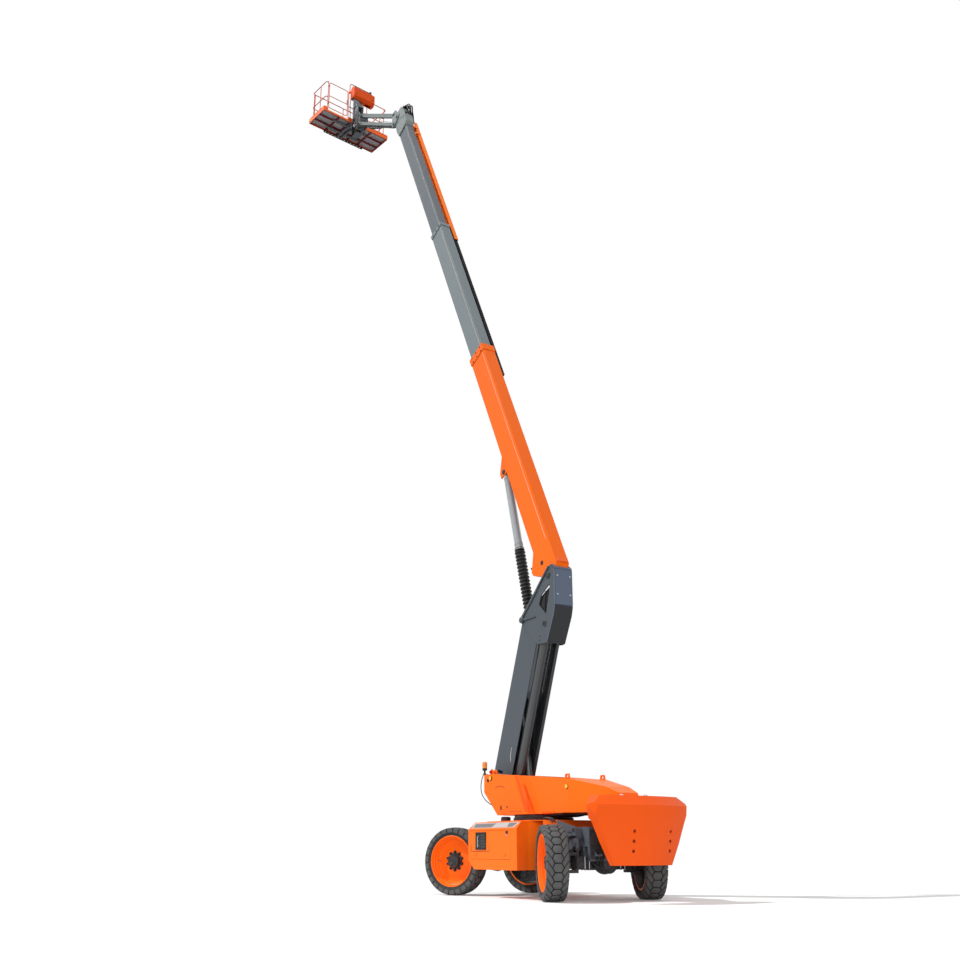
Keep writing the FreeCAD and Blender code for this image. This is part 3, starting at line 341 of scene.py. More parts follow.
# ---------------------------------------------------------------- mesh making
class Work:
    """Gathers many small shapes into one mesh, in a local frame."""

    def __init__(self, place=None):
        self.mesh = bmesh.new()
        self.place = place or Matrix.Identity(4)
        self.slots = []
        self.index = 0

    def use(self, material):
        """Shapes made from here on have this material."""
        if material not in self.slots:
            self.slots.append(material)
        self.index = self.slots.index(material)
        return self

    def take(self, points, faces, smooth=False):
        """Adds points, and faces given by their numbers."""
        made = [self.mesh.verts.new(self.place @ Vector(point)) for point in points]
        for corners in faces:
            face = self.mesh.faces.new([made[number] for number in corners])
            face.material_index = self.index
            face.smooth = smooth

    def box(self, low, high):
        """A box between two corners."""
        low, high = Vector(low), Vector(high)
        corners = [(x, y, z) for x in (low.x, high.x) for y in (low.y, high.y)
                   for z in (low.z, high.z)]
        self.take(corners, ((0, 1, 3, 2), (4, 6, 7, 5), (0, 4, 5, 1), (2, 3, 7, 6),
                            (0, 2, 6, 4), (1, 5, 7, 3)))

    def strip(self, start, stop, y, half, low, high):
        """A box from start to stop along X and low to high along Z, half to each side of y."""
        self.box((start, y - half, low), (stop, y + half, high))

    def slab(self, outline, low, high, axes="xz"):
        """An outline in two axes, extruded along the third from low to high."""
        order = [axes.index(letter) if letter in axes else None for letter in "xyz"]

        def point(pair, deep):
            return Vector([deep if index is None else pair[index] for index in order])

        count = len(outline)
        points = [point(pair, low) for pair in outline] + [point(pair, high) for pair in outline]
        faces = [tuple(range(count)), tuple(range(2 * count - 1, count - 1, -1))]
        faces += [(k, (k + 1) % count, (k + 1) % count + count, k + count)
                  for k in range(count)]
        self.take(points, faces)

    def skin(self, rings, smooth, closed=False):
        """Faces between rings of points, with flat ends unless the last ring meets the first."""
        rows, steps = len(rings), len(rings[0])
        faces = []
        for row in range(rows if closed else rows - 1):
            here, there = row * steps, (row + 1) % rows * steps
            for k in range(steps):
                step = (k + 1) % steps
                faces.append((here + k, here + step, there + step, there + k))
        if not closed:
            faces.append(tuple(range(steps - 1, -1, -1)))
            faces.append(tuple(range((rows - 1) * steps, rows * steps)))
        self.take([point for ring in rings for point in ring], faces, smooth)

    def lathe(self, profile, base, axis, steps=32, smooth=True, closed=False):
        """A profile of (distance along the axis, radius) turned about the axis."""
        axis = Vector(axis).normalized()
        side = axis.orthogonal().normalized()
        other = axis.cross(side)
        base = Vector(base)
        turns = [2 * math.pi * k / steps for k in range(steps)]
        self.skin([[base + axis * far + (side * math.cos(turn) + other * math.sin(turn)) * radius
                    for turn in turns] for far, radius in profile], smooth, closed)

    def rod(self, first, last, radius, steps=20):
        """A round bar between two points, its ends slightly eased."""
        first, last = Vector(first), Vector(last)
        length = (last - first).length
        ease = min(radius, length / 2) * 0.12
        self.lathe([(0, radius - ease), (ease, radius), (length - ease, radius),
                    (length, radius - ease)], first, last - first, steps)

    def bolt(self, base, axis, radius, washer=True):
        """A hexagon head on a washer."""
        axis = Vector(axis).normalized()
        base = Vector(base)
        if washer:
            self.lathe([(0, radius * 1.35), (radius * 0.2, radius * 1.35)], base, axis, 18)
        start = radius * 0.2 if washer else 0.0
        self.lathe([(start, radius), (radius * 0.75, radius), (radius * 0.85, radius * 0.86)],
                   base, axis, 6, smooth=False)

    def tube(self, points, radius, steps=12, smooth_line=True):
        """A round tube along points, its line a smooth curve through its bends."""
        line = curve_points(points) if smooth_line else [Vector(point) for point in points]
        rings = []
        normal = None
        for number, spot in enumerate(line):
            before = line[max(number - 1, 0)]
            after = line[min(number + 1, len(line) - 1)]
            along = (after - before).normalized()
            if normal is None:
                normal = along.orthogonal().normalized()
            normal = (normal - along * normal.dot(along)).normalized()
            other = along.cross(normal)
            rings.append([spot + (normal * math.cos(2 * math.pi * k / steps)
                                  + other * math.sin(2 * math.pi * k / steps)) * radius
                          for k in range(steps)])
        self.skin(rings, True)

    def done(self, name, body, slot_name, rounding=0.0, segments=2, angle=35):
        """Makes the object, which rides on a body of the frame."""
        bmesh.ops.recalc_face_normals(self.mesh, faces=self.mesh.faces)
        data = bpy.data.meshes.new(name)
        self.mesh.to_mesh(data)
        self.mesh.free()
        for material in self.slots:
            data.materials.append(material)
        made = bpy.data.objects.new(name, data)
        bpy.context.collection.objects.link(made)
        data.set_sharp_from_angle(angle=math.radians(angle))
        if rounding:
            bevel = made.modifiers.new("rounding", "BEVEL")
            bevel.width = rounding
            bevel.segments = segments
            bevel.limit_method = "ANGLE"
            bevel.angle_limit = math.radians(angle)
            bevel.harden_normals = True
        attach(made, body)
        return made


def curve_points(points):
    """Points of a Catmull-Rom curve through the given points."""
    line = [Vector(point) for point in points]
    if len(line) < 3:
        return line
    steps = 6
    ends = [2 * line[0] - line[1]] + line + [2 * line[-1] - line[-2]]
    made = []
    for before, start, stop, after in zip(ends, ends[1:], ends[2:], ends[3:]):
        for k in range(steps):
            t = k / steps
            made.append(0.5 * ((2 * start) + (stop - before) * t
                               + (2 * before - 5 * start + 4 * stop - after) * t * t
                               + (3 * start - before - 3 * stop + after) * t * t * t))
    made.append(line[-1])
    return made


def ring(count, radius, shift=0.0):
    """Places spread evenly round a circle, as pairs (radius x cosine, radius x sine)."""
    turns = [2 * math.pi * (k + shift) / count for k in range(count)]
    return [(radius * math.cos(turn), radius * math.sin(turn)) for turn in turns]


def span(side, near, far):
    """Two distances from the middle on one side of it, lowest first."""
    return sorted((side * near, side * far))


def frame_at(spot, forward, up=Z):
    """A matrix whose X axis is forward and whose Z axis is as near up as can be."""
    forward = Vector(forward).normalized()
    left = Vector(up).cross(forward).normalized()
    over = forward.cross(left)
    made = Matrix((forward, left, over)).transposed().to_4x4()
    made.translation = Vector(spot)
    return made


def pivot(name):
    """Where a joint is."""
    return Vector(joints[name]["pos_m"])


def heading(name):
    """The way a joint slides, or the line it turns about."""
    return Vector(joints[name]["axis"])


def paint(node, material):
    """Gives a frame node its finish."""
    target = frame["nodes"][node]
    target.data.materials.clear()
    target.data.materials.append(material)


BOOM = frame_at(pivot("boom_lift"), heading("boom_telescope"))
RISER = frame_at(pivot("riser_lift"), pivot("knuckle_level") - pivot("riser_lift"), -X)
JIB = frame_at(pivot("jib_lift"), pivot("support_level") - pivot("jib_lift"))
SWIVEL_X = 9.7
DECK_TURN = math.radians(8)
DECK = frame_at((SWIVEL_X, 0, 23.0), (math.cos(DECK_TURN), math.sin(DECK_TURN), 0))


# ---------------------------------------------------------------- finishes of the frame
FINISHES = {
    ORANGE: ("chassis_deck", "left_hood", "right_hood", "left_hood_door",
             "right_hood_door", "turntable_frame", "base_boom"),
    # The hose tray takes the brighter orange as painted light.
    LIT_TRAY_ORANGE: ("hose_tray",),
    # The counterweight takes the darker orange as painted shade.
    SHADED_ORANGE: ("counterweight",),
    DEEP_ORANGE: ("platform_floor",),
    RAIL_ORANGE: ("guard_rails", "platform_gate"),
    BOOM_GREY: ("mid_boom",),
    FLY_GREY: ("fly_boom",),
    JIB_GREY: ("jib_lower_arms", "jib_upper_arm"),
    SUPPORT_GREY: ("platform_support", "platform_arm"),
    RISER_GREY: ("riser_beam", "knuckle_frame"),
    COVER_GREY: ("knuckle_covers",),
    HEAD_GREY: ("boom_head", "jib_bracket"),
    DARK_STEEL: ("front_axle", "rear_axle", "slew_ring", "level_links", "hydraulic_tank"),
    FRAME_GREY: ("chassis_frame", "front_axle_struts", "rear_axle_struts"),
    # The riser cylinder's barrel and rod are darkened as painted shade inside the riser.
    DARK_LINK_AND_SHADE_PAINT: ("riser_lift_barrel",),
    CAST_IRON: ("engine_block",),
    BARREL: ("boom_lift_barrel", "jib_lift_barrel"),
    SHADED_ROD: ("riser_lift_rod",),
    CHROME: ("boom_lift_rod", "jib_lift_rod", "front_steer_rod", "rear_steer_rod"),
    BELLOWS_RUBBER: ("boom_lift_bellows",),
    BLACK_PLASTIC: ("cable_track", "beacon"),
    # The floor panels' pale grey is partly painted light.
    PANEL_GREY_WITH_PAINTED_LIGHT: ("floor_panels",),
    CONSOLE_ORANGE: ("console_cover",),
}
for finish, names in FINISHES.items():
    for name in names:
        paint(name, finish)
for end in ("front", "rear"):
    for side in ("left", "right"):
        paint(f"{end}_{side}_tyre", TYRE_RUBBER)
        paint(f"{end}_{side}_rim", ORANGE)
        paint(f"{end}_{side}_knuckle", DARK_STEEL)


# ---------------------------------------------------------------- wheels
LUGS = 26
TREAD = 0.600
AXLE_X = 1.670
PITCH = 2 * math.pi * TREAD / LUGS
ENDS = {"front": 1, "rear": -1}
SIDES = {"left": 1, "right": -1}


def wheel_place(end, side):
    """The wheel's own frame: Y is outward along its axle, Z is up."""
    outward = heading(f"{end}_{side}_wheel_spin") * SIDES[side]
    return frame_at(pivot(f"{end}_{side}_wheel_spin"), outward.cross(Z))


def lug(work, outline, turn):
    """A tread lug whose outline is given across the tyre and along its tread."""

    def spot(across, run, radius):
        angle = turn + run / TREAD
        crown = radius - 0.010 * (abs(across) / 0.17) ** 2
        return crown * math.sin(angle), across, crown * math.cos(angle)

    middle = (sum(a for a, r in outline) / len(outline), sum(r for a, r in outline) / len(outline))
    points = [spot(a, r, TREAD - 0.036) for a, r in outline]
    points += [spot(a, r, TREAD - 0.004) for a, r in outline]
    points += [spot(middle[0] + 0.90 * (a - middle[0]), middle[1] + 0.90 * (r - middle[1]), TREAD)
               for a, r in outline]
    points.append(spot(*middle, TREAD))
    count = len(outline)
    walls, crown = [], []
    for k in range(count):
        after = (k + 1) % count
        walls.append((k, after, count + after, count + k))
        crown.append((k, after, count + after, count + k))
        crown.append((count + k, count + after, 2 * count))
    work.use(TYRE_RUBBER).take(points[:2 * count], walls)
    work.use(TREAD_RUBBER).take(points[count:], crown)


def shoulder(work, side, turn, middle):
    """The part of a side lug that runs down the side wall."""
    points = []
    for across, radius in ((0.165, 0.588), (0.1848, 0.570), (0.1848, 0.508), (0.166, 0.508)):
        for run in (-0.058, 0.058):
            angle = turn + (middle + run) / TREAD
            points.append((radius * math.sin(angle), side * across, radius * math.cos(angle)))
    work.use(TREAD_RUBBER)
    work.take(points, ((0, 1, 3, 2), (2, 3, 5, 4), (4, 5, 7, 6), (0, 2, 4, 6), (1, 7, 5, 3)))


def tyre(end, side):
    """A casing with five-sided side lugs and a row of six-sided lugs down its middle."""
    work = Work(wheel_place(end, side)).use(TYRE_RUBBER)
    half = [(0.139, 0.442), (0.160, 0.446), (0.172, 0.466), (0.168, 0.472), (0.179, 0.490),
            (0.179, 0.525), (0.173, 0.553), (0.158, 0.564), (0.08, 0.568)]
    wall = half + [(-far, radius) for far, radius in reversed(half)]
    work.lathe(wall, (0, 0, 0), Y, 66, closed=True)
    gap = 0.010
    slant = 0.105
    centre = [(-0.050, gap - PITCH / 2), (0.050, gap - PITCH / 2), (0.086, 0),
              (0.050, PITCH / 2 - gap), (-0.050, PITCH / 2 - gap), (-0.086, 0)]
    edge = [(0.100, gap), (0.170, slant + gap), (0.170, slant + PITCH - gap),
            (0.100, PITCH - gap), (0.066, PITCH / 2)]
    way = SIDES[side]
    for k in range(LUGS):
        turn = 2 * math.pi * k / LUGS
        lug(work, centre, turn)
        for sign in (1, -1):
            lug(work, [(sign * a, way * r) for a, r in edge], turn)
            shoulder(work, sign, turn, way * (slant + PITCH / 2))
    made = work.done(f"{end}_{side}_tread", f"{end}_{side}_wheel", "tyre_rubber")
    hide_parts(f"{end}_{side}_tyre")


def rim(end, side):
    """A dish with its inside black as painted shade, a black planetary hub with its ring of nuts,
    and the valve.
    """
    work = Work(wheel_place(end, side)).use(ORANGE)
    work.lathe([(-0.163, 0.427), (-0.163, 0.453), (-0.153, 0.454), (-0.147, 0.4395),
                (0.147, 0.4395), (0.153, 0.454), (0.166, 0.454), (0.170, 0.448),
                (0.167, 0.437), (0.151, 0.429), (0.110, 0.424), (0.103, 0.413), (0.058, 0.409),
                (0.050, 0.395), (0.010, 0.385), (-0.014, 0.360), (-0.018, 0.325),
                (0.004, 0.255), (0.020, 0.215), (0.022, 0.1), (-0.02, 0.1), (-0.03, 0.31),
                (-0.045, 0.39), (-0.1, 0.412)], (0, 0, 0), Y, 72, closed=True)
    # Thin black shell over the inner side of the dish: painted shade; the hub after it is black
    # paint.
    work.use(BLACK_PAINT_AND_SHADE)
    work.lathe([(-0.162, 0.4265), (-0.1, 0.4115), (-0.045, 0.3895), (-0.03, 0.3095), (-0.02, 0.1),
                (-0.022, 0.1), (-0.032, 0.3085), (-0.047, 0.388), (-0.102, 0.409),
                (-0.162, 0.424)], (0, 0, 0), Y, 60, closed=True)
    work.lathe([(0.02, 0.146), (0.045, 0.146), (0.052, 0.138), (0.052, 0.122), (0.098, 0.118),
                (0.110, 0.108), (0.110, 0.072), (0.120, 0.064), (0.120, 0.03), (0.112, 0.024)],
               (0, 0, 0), Y, 48)
    work.lathe([(-0.06, 0.15), (0.024, 0.15)], (0, 0, 0), Y, 32)
    for z, x in ring(10, 0.163):
        work.lathe([(0.02, 0.024), (0.034, 0.024)], (x, 0, z), Y, 16)
        work.lathe([(0.034, 0.019), (0.058, 0.019), (0.062, 0.016)], (x, 0, z), Y, 6, False)
        work.lathe([(0.06, 0.010), (0.078, 0.010), (0.080, 0.007)], (x, 0, z), Y, 10)
    for z, x in ring(6, 0.09, 0.5):
        work.bolt((x, 0.109, z), Y, 0.009, False)
    work.use(STEEL).rod((0.345, -0.014, 0), (0.360, 0.045, 0), 0.007, 10)
    made = work.done(f"{end}_{side}_dish", f"{end}_{side}_wheel", "orange_paint")
    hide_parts(f"{end}_{side}_rim")


for each_end in ENDS:
    for each_side in SIDES:
        tyre(each_end, each_side)
        rim(each_end, each_side)


# ---------------------------------------------------------------- axles and chassis
def axle_fittings(end):
    """Clamps and their bolts, gussets, the round gear cover and hoses on one axle."""
    sign = ENDS[end]
    x = sign * AXLE_X
    work = Work().use(FRAME_GREY)
    for side in (1, -1):
        work.slab([(side * 0.30, 0.84), (side * 0.43, 0.84), (side * 0.43, 0.69),
                   (side * 0.30, 0.69)], x + sign * 0.091, x + sign * 0.106, "yz")
        for low, high in ((x - 0.058, x - 0.044), (x + 0.044, x + 0.058)):
            work.slab([(side * 0.431, 1.14), (side * 0.56, 1.14), (side * 0.56, 1.06),
                       (side * 0.431, 0.94)], low, high, "yz")
        work.use(DARK_STEEL)
        work.lathe([(0, 0.055), (0.03, 0.055), (0.035, 0.045)], (x, side * 0.487, 0.788), Z, 24)
        work.use(STEEL)
        for dx in (-0.105, 0.105):
            for y in (0.325, 0.415):
                work.rod((x + dx, side * y, 0.484), (x + dx, side * y, 0.694), 0.011, 10)
                work.bolt((x + dx, side * y, 0.496), -Z, 0.018)
        work.use(DARK_STEEL)
        work.box((x - 0.125, side * 0.37 - 0.07, 0.490), (x + 0.125, side * 0.37 + 0.07, 0.505))
        work.use(FRAME_GREY)
    work.use(DARK_STEEL)
    inward = -sign
    cover = (x - inward * 0.02, -0.06, TREAD)
    work.lathe([(0.12, 0.165), (0.165, 0.15), (0.19, 0.11), (0.197, 0.05), (0.198, 0.01)],
               cover, -inward * X, 36)
    work.lathe([(0.11, 0.178), (0.125, 0.178)], cover, -inward * X, 36)
    for across, up in ring(12, 0.170):
        work.bolt((cover[0] - inward * 0.125, cover[1] + across, TREAD + up), -inward * X, 0.009,
                  False)
    for side in (1, -1):
        work.use(STEEL).bolt((x, side * 0.72, 0.764), Z, 0.03)
        work.use(HOSE)
        work.tube([(x + inward * 0.1, side * 0.18, 0.66), (x + inward * 0.13, side * 0.3, 0.69),
                   (x + inward * 0.12, side * 0.44, 0.66), (x + inward * 0.10, side * 0.56, 0.61)],
                  0.010, 8)
        work.tube([(x - inward * 0.1, side * 0.12, 0.69), (x - inward * 0.16, side * 0.24, 0.76),
                   (x - inward * 0.14, side * 0.38, 0.88), (x - inward * 0.08, side * 0.45, 0.98)],
                  0.012, 8)
    work.done(f"{end}_axle_fittings", "chassis", "dark_steel", 0.003)


def frame_fittings():
    """End plates, tie-down gussets, bolts, brackets and hoses on the chassis frame."""
    work = Work().use(FRAME_GREY)
    for sign in (1, -1):
        x = sign * 1.931
        work.slab([(-0.41, 0.66), (-0.41, 1.12), (0.41, 1.12), (0.41, 0.66)], x,
                  x + sign * 0.012, "yz")
        work.use(DARK_STEEL)
        work.slab([(-0.16, 0.80), (-0.16, 1.02), (0.16, 1.02), (0.16, 0.80)],
                  x + sign * 0.012, x + sign * 0.02, "yz")
        for y in (-0.36, -0.20, 0.20, 0.36):
            for z in (0.82, 1.07):
                work.bolt((x + sign * 0.012, y, z), sign * X, 0.014)
        for y in (-0.3, 0.3):
            work.use(FRAME_GREY)
            for dy in (-0.05, 0.042):
                work.slab([(x, 0.731), (x + sign * 0.09, 0.731), (x, 0.80)], y + dy,
                          y + dy + 0.008)
            work.use(DARK_STEEL)
    work.use(FRAME_GREY)
    for side in (1, -1):
        for x in (-1.22, 1.22):
            work.slab([(x - 0.20, 1.155), (x + 0.20, 1.155), (x + 0.12, 0.90), (x - 0.12, 0.90)],
                      side * 0.431, side * 0.443)
            work.use(DARK_STEEL)
            for dx in (-0.12, 0.12):
                work.bolt((x + dx, side * 0.443, 1.10), side * Y, 0.014)
            work.use(FRAME_GREY)
        work.slab([(-1.09, 1.285), (-1.62, 1.160), (-1.62, 1.08), (-1.40, 1.0), (-1.06, 1.165)],
                  side * 0.455, side * 0.470)
        low, high = span(side, 0.431, 0.47)
        work.box((-1.60, low, 1.075), (-1.38, high, 1.09))
    work.use(STEEL)
    work.tube([(-1.16, 0.445, 1.12), (-1.30, 0.50, 1.09), (-1.43, 0.53, 1.0), (-1.46, 0.52, 0.86)],
              0.009, 8)
    work.use(HOSE)
    for y, drop in ((0.10, 0.10), (0.16, 0.14), (-0.12, 0.12), (0.24, 0.18)):
        work.tube([(-1.945, y, 0.92), (-1.985, y + 0.02, 0.86), (-1.97, y + 0.05, 0.78 - drop / 2),
                   (-1.90, y + 0.06, 0.70 - drop), (-1.74, y + 0.03, 0.68 - drop / 2)], 0.013, 8)
    work.done("frame_fittings", "chassis", "dark_steel", 0.003)


# ---------------------------------------------------------------- hoods
def on_bevel(x, along, lift=0.0):
    """A point of a hood's bevelled edge; along runs from its lower edge to its upper one."""
    side = 1.15 - 0.15 * along
    high = 1.145 + 0.125 * along
    return Vector((x, side, high)) + Vector((0, 0.64, 0.768)) * lift


def bevel_strip(work, mirror, start, stop, low, high, lift):
    """A thin plate on the bevel, its short ends slanted."""
    corners = []
    for height in (0.0, lift):
        for x, along in ((start, low), (stop, low), (stop - 0.05, high), (start + 0.05, high)):
            spot = on_bevel(x, along, height)
            corners.append((spot.x, spot.y * mirror, spot.z))
    work.take(corners, ((0, 1, 2, 3), (7, 6, 5, 4), (0, 4, 5, 1), (1, 5, 6, 2), (2, 6, 7, 3),
                        (3, 7, 4, 0)))


def hood_fittings(side):
    """Blank strip on the bevel, hatch with its recess, latches, lamp and door seams."""
    sign = SIDES[side]
    out = 1.15
    work = Work()
    work.use(STRIP_GREY)
    bevel_strip(work, sign, 0.68, -0.72, 0.16, 0.86, 0.0025)
    work.use(STRIP_DARK)
    bevel_strip(work, sign, 0.62, 0.02, 0.24, 0.76, 0.004)
    bevel_strip(work, sign, -0.50, -0.66, 0.24, 0.76, 0.004)

    def plate(low_x, high_x, low_z, high_z, start, stop):
        inner, outer = span(sign, start, stop)
        work.box((low_x, inner, low_z), (high_x, outer, high_z))

    work.use(SHADOW_SEAM)
    for x in (0.033, 0.648):
        plate(x - 0.006, x + 0.006, 0.772, 0.885, out, out + 0.0015)
    plate(0.033, 0.648, 0.768, 0.776, out, out + 0.0015)
    work.use(BLACK_PLASTIC)
    for edges in ((0.138, 0.150, 0.80, 1.095), (0.472, 0.484, 0.80, 1.095),
                  (0.138, 0.484, 0.80, 0.812), (0.138, 0.484, 1.083, 1.095)):
        plate(*edges, out, out + 0.012)
    plate(0.150, 0.472, 0.812, 1.083, out, out + 0.002)
    work.use(DARK_STEEL)
    for row in range(5):
        z = 0.835 + 0.048 * row
        plate(0.17, 0.31, z, z + 0.028, out + 0.002, out + 0.010)
        work.rod((0.36, sign * out, z + 0.014), (0.36, sign * (out + 0.011), z + 0.014), 0.012, 12)
    work.use(STEEL)
    plate(0.415, 0.435, 0.84, 1.03, out + 0.002, out + 0.009)
    for z in (0.87, 0.95, 1.03):
        work.bolt((0.385, sign * (out + 0.002), z), sign * Y, 0.007, False)
    work.use(BLACK_PLASTIC)
    plate(-0.575, -0.505, 1.062, 1.108, out, out + 0.007)
    work.use(STEEL)
    work.rod((-0.54, sign * out, 1.035), (-0.54, sign * (out + 0.012), 1.035), 0.016, 16)
    work.done(f"{side}_hood_fittings", f"{side}_door", "dark_steel", 0.0015, 1)


def deck_fittings():
    """Toothed ring and ring of bolts under the turntable, a filler cap and hoses beside it."""
    work = Work().use(CAST_IRON)
    teeth = 84
    profile = []
    for k in range(teeth):
        for share, radius in ((0.0, 0.528), (0.3, 0.528), (0.5, 0.548), (0.8, 0.548)):
            turn = 2 * math.pi * (k + share) / teeth
            profile.append((radius * math.cos(turn), radius * math.sin(turn)))
    work.slab(profile, 1.300, 1.345, "xy")
    work.use(DARK_STEEL)
    work.lathe([(0, 0.53), (0.035, 0.53), (0.045, 0.52), (0.045, 0.40)], (0, 0, 1.352), Z, 72)
    for k, (x, y) in enumerate(ring(36, 0.575)):
        work.use(STEEL if k % 2 else DARK_STEEL)
        work.bolt((x, y, 1.290), Z, 0.012)
    work.use(DARK_STEEL)
    work.lathe([(0, 0.09), (0.07, 0.09), (0.085, 0.07), (0.087, 0.02)], (0.62, 0.42, 1.29), Z, 28)
    work.use(HOSE)
    for y in (0.50, 0.56, -0.52):
        work.tube([(-0.80, y, 1.30), (-0.88, y + 0.02, 1.325), (-0.98, y, 1.31),
                   (-1.06, y - 0.02, 1.25)], 0.014, 8)
    work.done("deck_fittings", "chassis", "cast_iron", 0.002)


def engine_grille():
    """Dark louvred end on the hood over the engine."""
    work = Work().use(BLACK_PAINT_AND_SHADE)
    work.slab([(-0.45, 0.50), (-0.83, 0.50), (-0.83, 1.25), (-0.45, 1.25)], -0.742, -0.7315, "yz")
    work.use(DARK_STEEL)
    for row in range(9):
        z = 0.56 + 0.072 * row
        work.slab([(-0.742, z), (-0.758, z + 0.004), (-0.758, z + 0.012), (-0.742, z + 0.040)],
                  -0.81, -0.47)
    work.done("engine_grille", "chassis", "dark_steel", 0.002)


for each_end in ENDS:
    axle_fittings(each_end)
frame_fittings()
engine_grille()
for each_side in SIDES:
    hood_fittings(each_side)
deck_fittings()


# ---------------------------------------------------------------- turntable
# Y of the side plates' outer faces.
CHEEK = 0.5495


def turntable_fittings():
    """Reflectors, hand holes, welded seams, bands of painted shade, rails, bolts and hoses on the
    turntable.
    """
    work = Work().use(SHADOW_SEAM)
    arc = [(0.785, 1.889), (0.72, 1.912), (0.623, 1.923), (0.53, 1.908), (0.452, 1.875)]
    for sign in (1, -1):
        work.tube([(x, sign * CHEEK, z) for x, z in arc], 0.005, 8)
        for x, z, radius in ((0.58, 1.535, 0.024), (0.375, 1.54, 0.020)):
            work.use(BLACK_PLASTIC)
            work.rod((x, sign * 0.548, z), (x, sign * 0.5525, z), radius, 20)
        work.use(BLACK_PLASTIC)
        work.box((0.56, sign * 0.5505 - 0.002, 1.495), (0.60, sign * 0.5505 + 0.002, 1.575))
        work.use(SHADOW_SEAM)
        bow = [(0.479 + 0.06 * math.cos(0.45 * k + 3.3), 1.472 + 0.06 * math.sin(0.45 * k + 3.3))
               for k in range(9)]
        work.tube([(x, sign * CHEEK, z) for x, z in bow], 0.003, 6)
        work.tube([(0.30, sign * CHEEK, 1.458), (0.10, sign * CHEEK, 1.455),
                   (-0.12, sign * CHEEK, 1.452)], 0.003, 6)
        work.use(BLACK_PLASTIC)
        work.lathe([(0, 0.045), (0.010, 0.045), (0.014, 0.038)], (0.93, sign * 0.55, 2.078),
                   sign * Y, 24)
        work.lathe([(0, 0.030), (0.012, 0.030)], (1.03, sign * 0.55, 2.044), sign * Y, 20)
        work.lathe([(0, 0.042), (0.008, 0.042)], (-1.327, sign * 0.42, 1.832), sign * Y, 24)
        # Yellow reflectors with a faint glow of painted light.
        work.use(YELLOW_WITH_PAINTED_GLOW)
        work.lathe([(0.010, 0.036), (0.024, 0.034), (0.030, 0.024), (0.032, 0.006)],
                   (0.93, sign * 0.55, 2.078), sign * Y, 24)
        work.lathe([(0.006, 0.036), (0.020, 0.034), (0.026, 0.024), (0.028, 0.006)],
                   (-1.327, sign * 0.42, 1.832), sign * Y, 24)
    # Slanted band on each side plate in the darker orange: painted shade of a shaded bevel.
    work.use(SHADED_ORANGE)
    for sign in (1, -1):
        work.slab([(0.10, 2.083), (0.02, 2.077), (-0.345, 1.462), (-0.215, 1.462)],
                  sign * CHEEK, sign * 0.5515)
    work.use(ORANGE)
    for sign in (1, -1):
        work.slab([(-1.36, 1.865), (-1.24, 1.865), (-1.26, 1.99), (-1.34, 1.99)],
                  sign * 0.396, sign * 0.408)
        for x in (-0.9, -0.5, -1.25):
            work.slab([(x - 0.02, 1.404), (x + 0.02, 1.404), (x + 0.02, 1.43), (x - 0.02, 1.43)],
                      sign * 0.421, sign * 0.426)
        work.slab([(-1.37, 1.408), (0.0, 1.408), (0.0, 1.422), (-1.37, 1.422)],
                  sign * 0.4195, sign * 0.4265)
        for x in (-0.62, -0.72, -0.82, -0.92):
            work.bolt((x, sign * 0.4265, 1.428), sign * Y, 0.014)
    work.use(DARK_STEEL)
    work.box((-1.0, -0.30, 1.372), (-0.62, 0.30, 1.3995))
    work.use(HOSE)
    for y in (-0.16, 0.02, 0.14):
        work.tube([(-0.45, y, 1.375), (-0.6, y + 0.03, 1.362), (-0.8, y, 1.358),
                   (-1.0, y - 0.02, 1.376)], 0.013, 8)
    work.done("turntable_fittings", "turntable", "dark_steel", 0.0015, 1)


def front_bracket():
    """Bracket, pin bosses and hose guide at the front edge of the turntable."""
    work = Work().use(ORANGE)
    for low, high in ((0.40, 0.412), (0.32, 0.332)):
        work.slab([(1.02, 2.145), (1.17, 2.145), (1.17, 2.235), (1.12, 2.265), (1.06, 2.235)],
                  low, high)
    for low, high in ((0.43, 0.445), (-0.445, -0.43)):
        work.slab([(1.171, 1.90), (1.171, 2.14), (1.205, 2.14), (1.205, 1.98)], low, high)
    work.use(RED)
    work.rod((1.12, 0.415, 2.205), (1.12, 0.455, 2.205), 0.026, 18)
    work.use(BLACK_PLASTIC)
    work.rod((1.0, 0.25, 2.20), (1.0, 0.35, 2.23), 0.028, 16)
    work.use(DARK_STEEL)
    foot = pivot("riser_lift")
    for sign in (1, -1):
        work.lathe([(0, 0.075), (0.014, 0.075), (0.020, 0.068)], (foot.x, sign * 0.4, foot.z),
                   sign * Y, 32)
    work.done("front_bracket", "turntable", "orange_paint", 0.003)


def beacon():
    """Ribbed amber lens on a black stalk."""
    x, y, foot = 1.215, 0.51, 2.155
    work = Work().use(BLACK_PLASTIC)
    work.lathe([(0, 0.030), (0.02, 0.030), (0.03, 0.018), (0.075, 0.018), (0.085, 0.044),
                (0.115, 0.047), (0.12, 0.047)], (x, y, foot), Z, 28)
    work.box((1.09, y - 0.028, 2.150), (1.245, y + 0.028, 2.159))
    work.bolt((1.12, y, 2.159), Z, 0.009)
    work.use(AMBER)
    lens = [(0.12, 0.046)]
    for k in range(7):
        far = 0.124 + 0.015 * k
        lens += [(far, 0.0475), (far + 0.009, 0.0475), (far + 0.012, 0.045)]
    lens += [(0.232, 0.042), (0.242, 0.030), (0.245, 0.008)]
    work.lathe(lens, (x, y, foot), Z, 32)
    made = work.done("beacon_lens", "turntable", "beacon_amber")
    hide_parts("beacon")


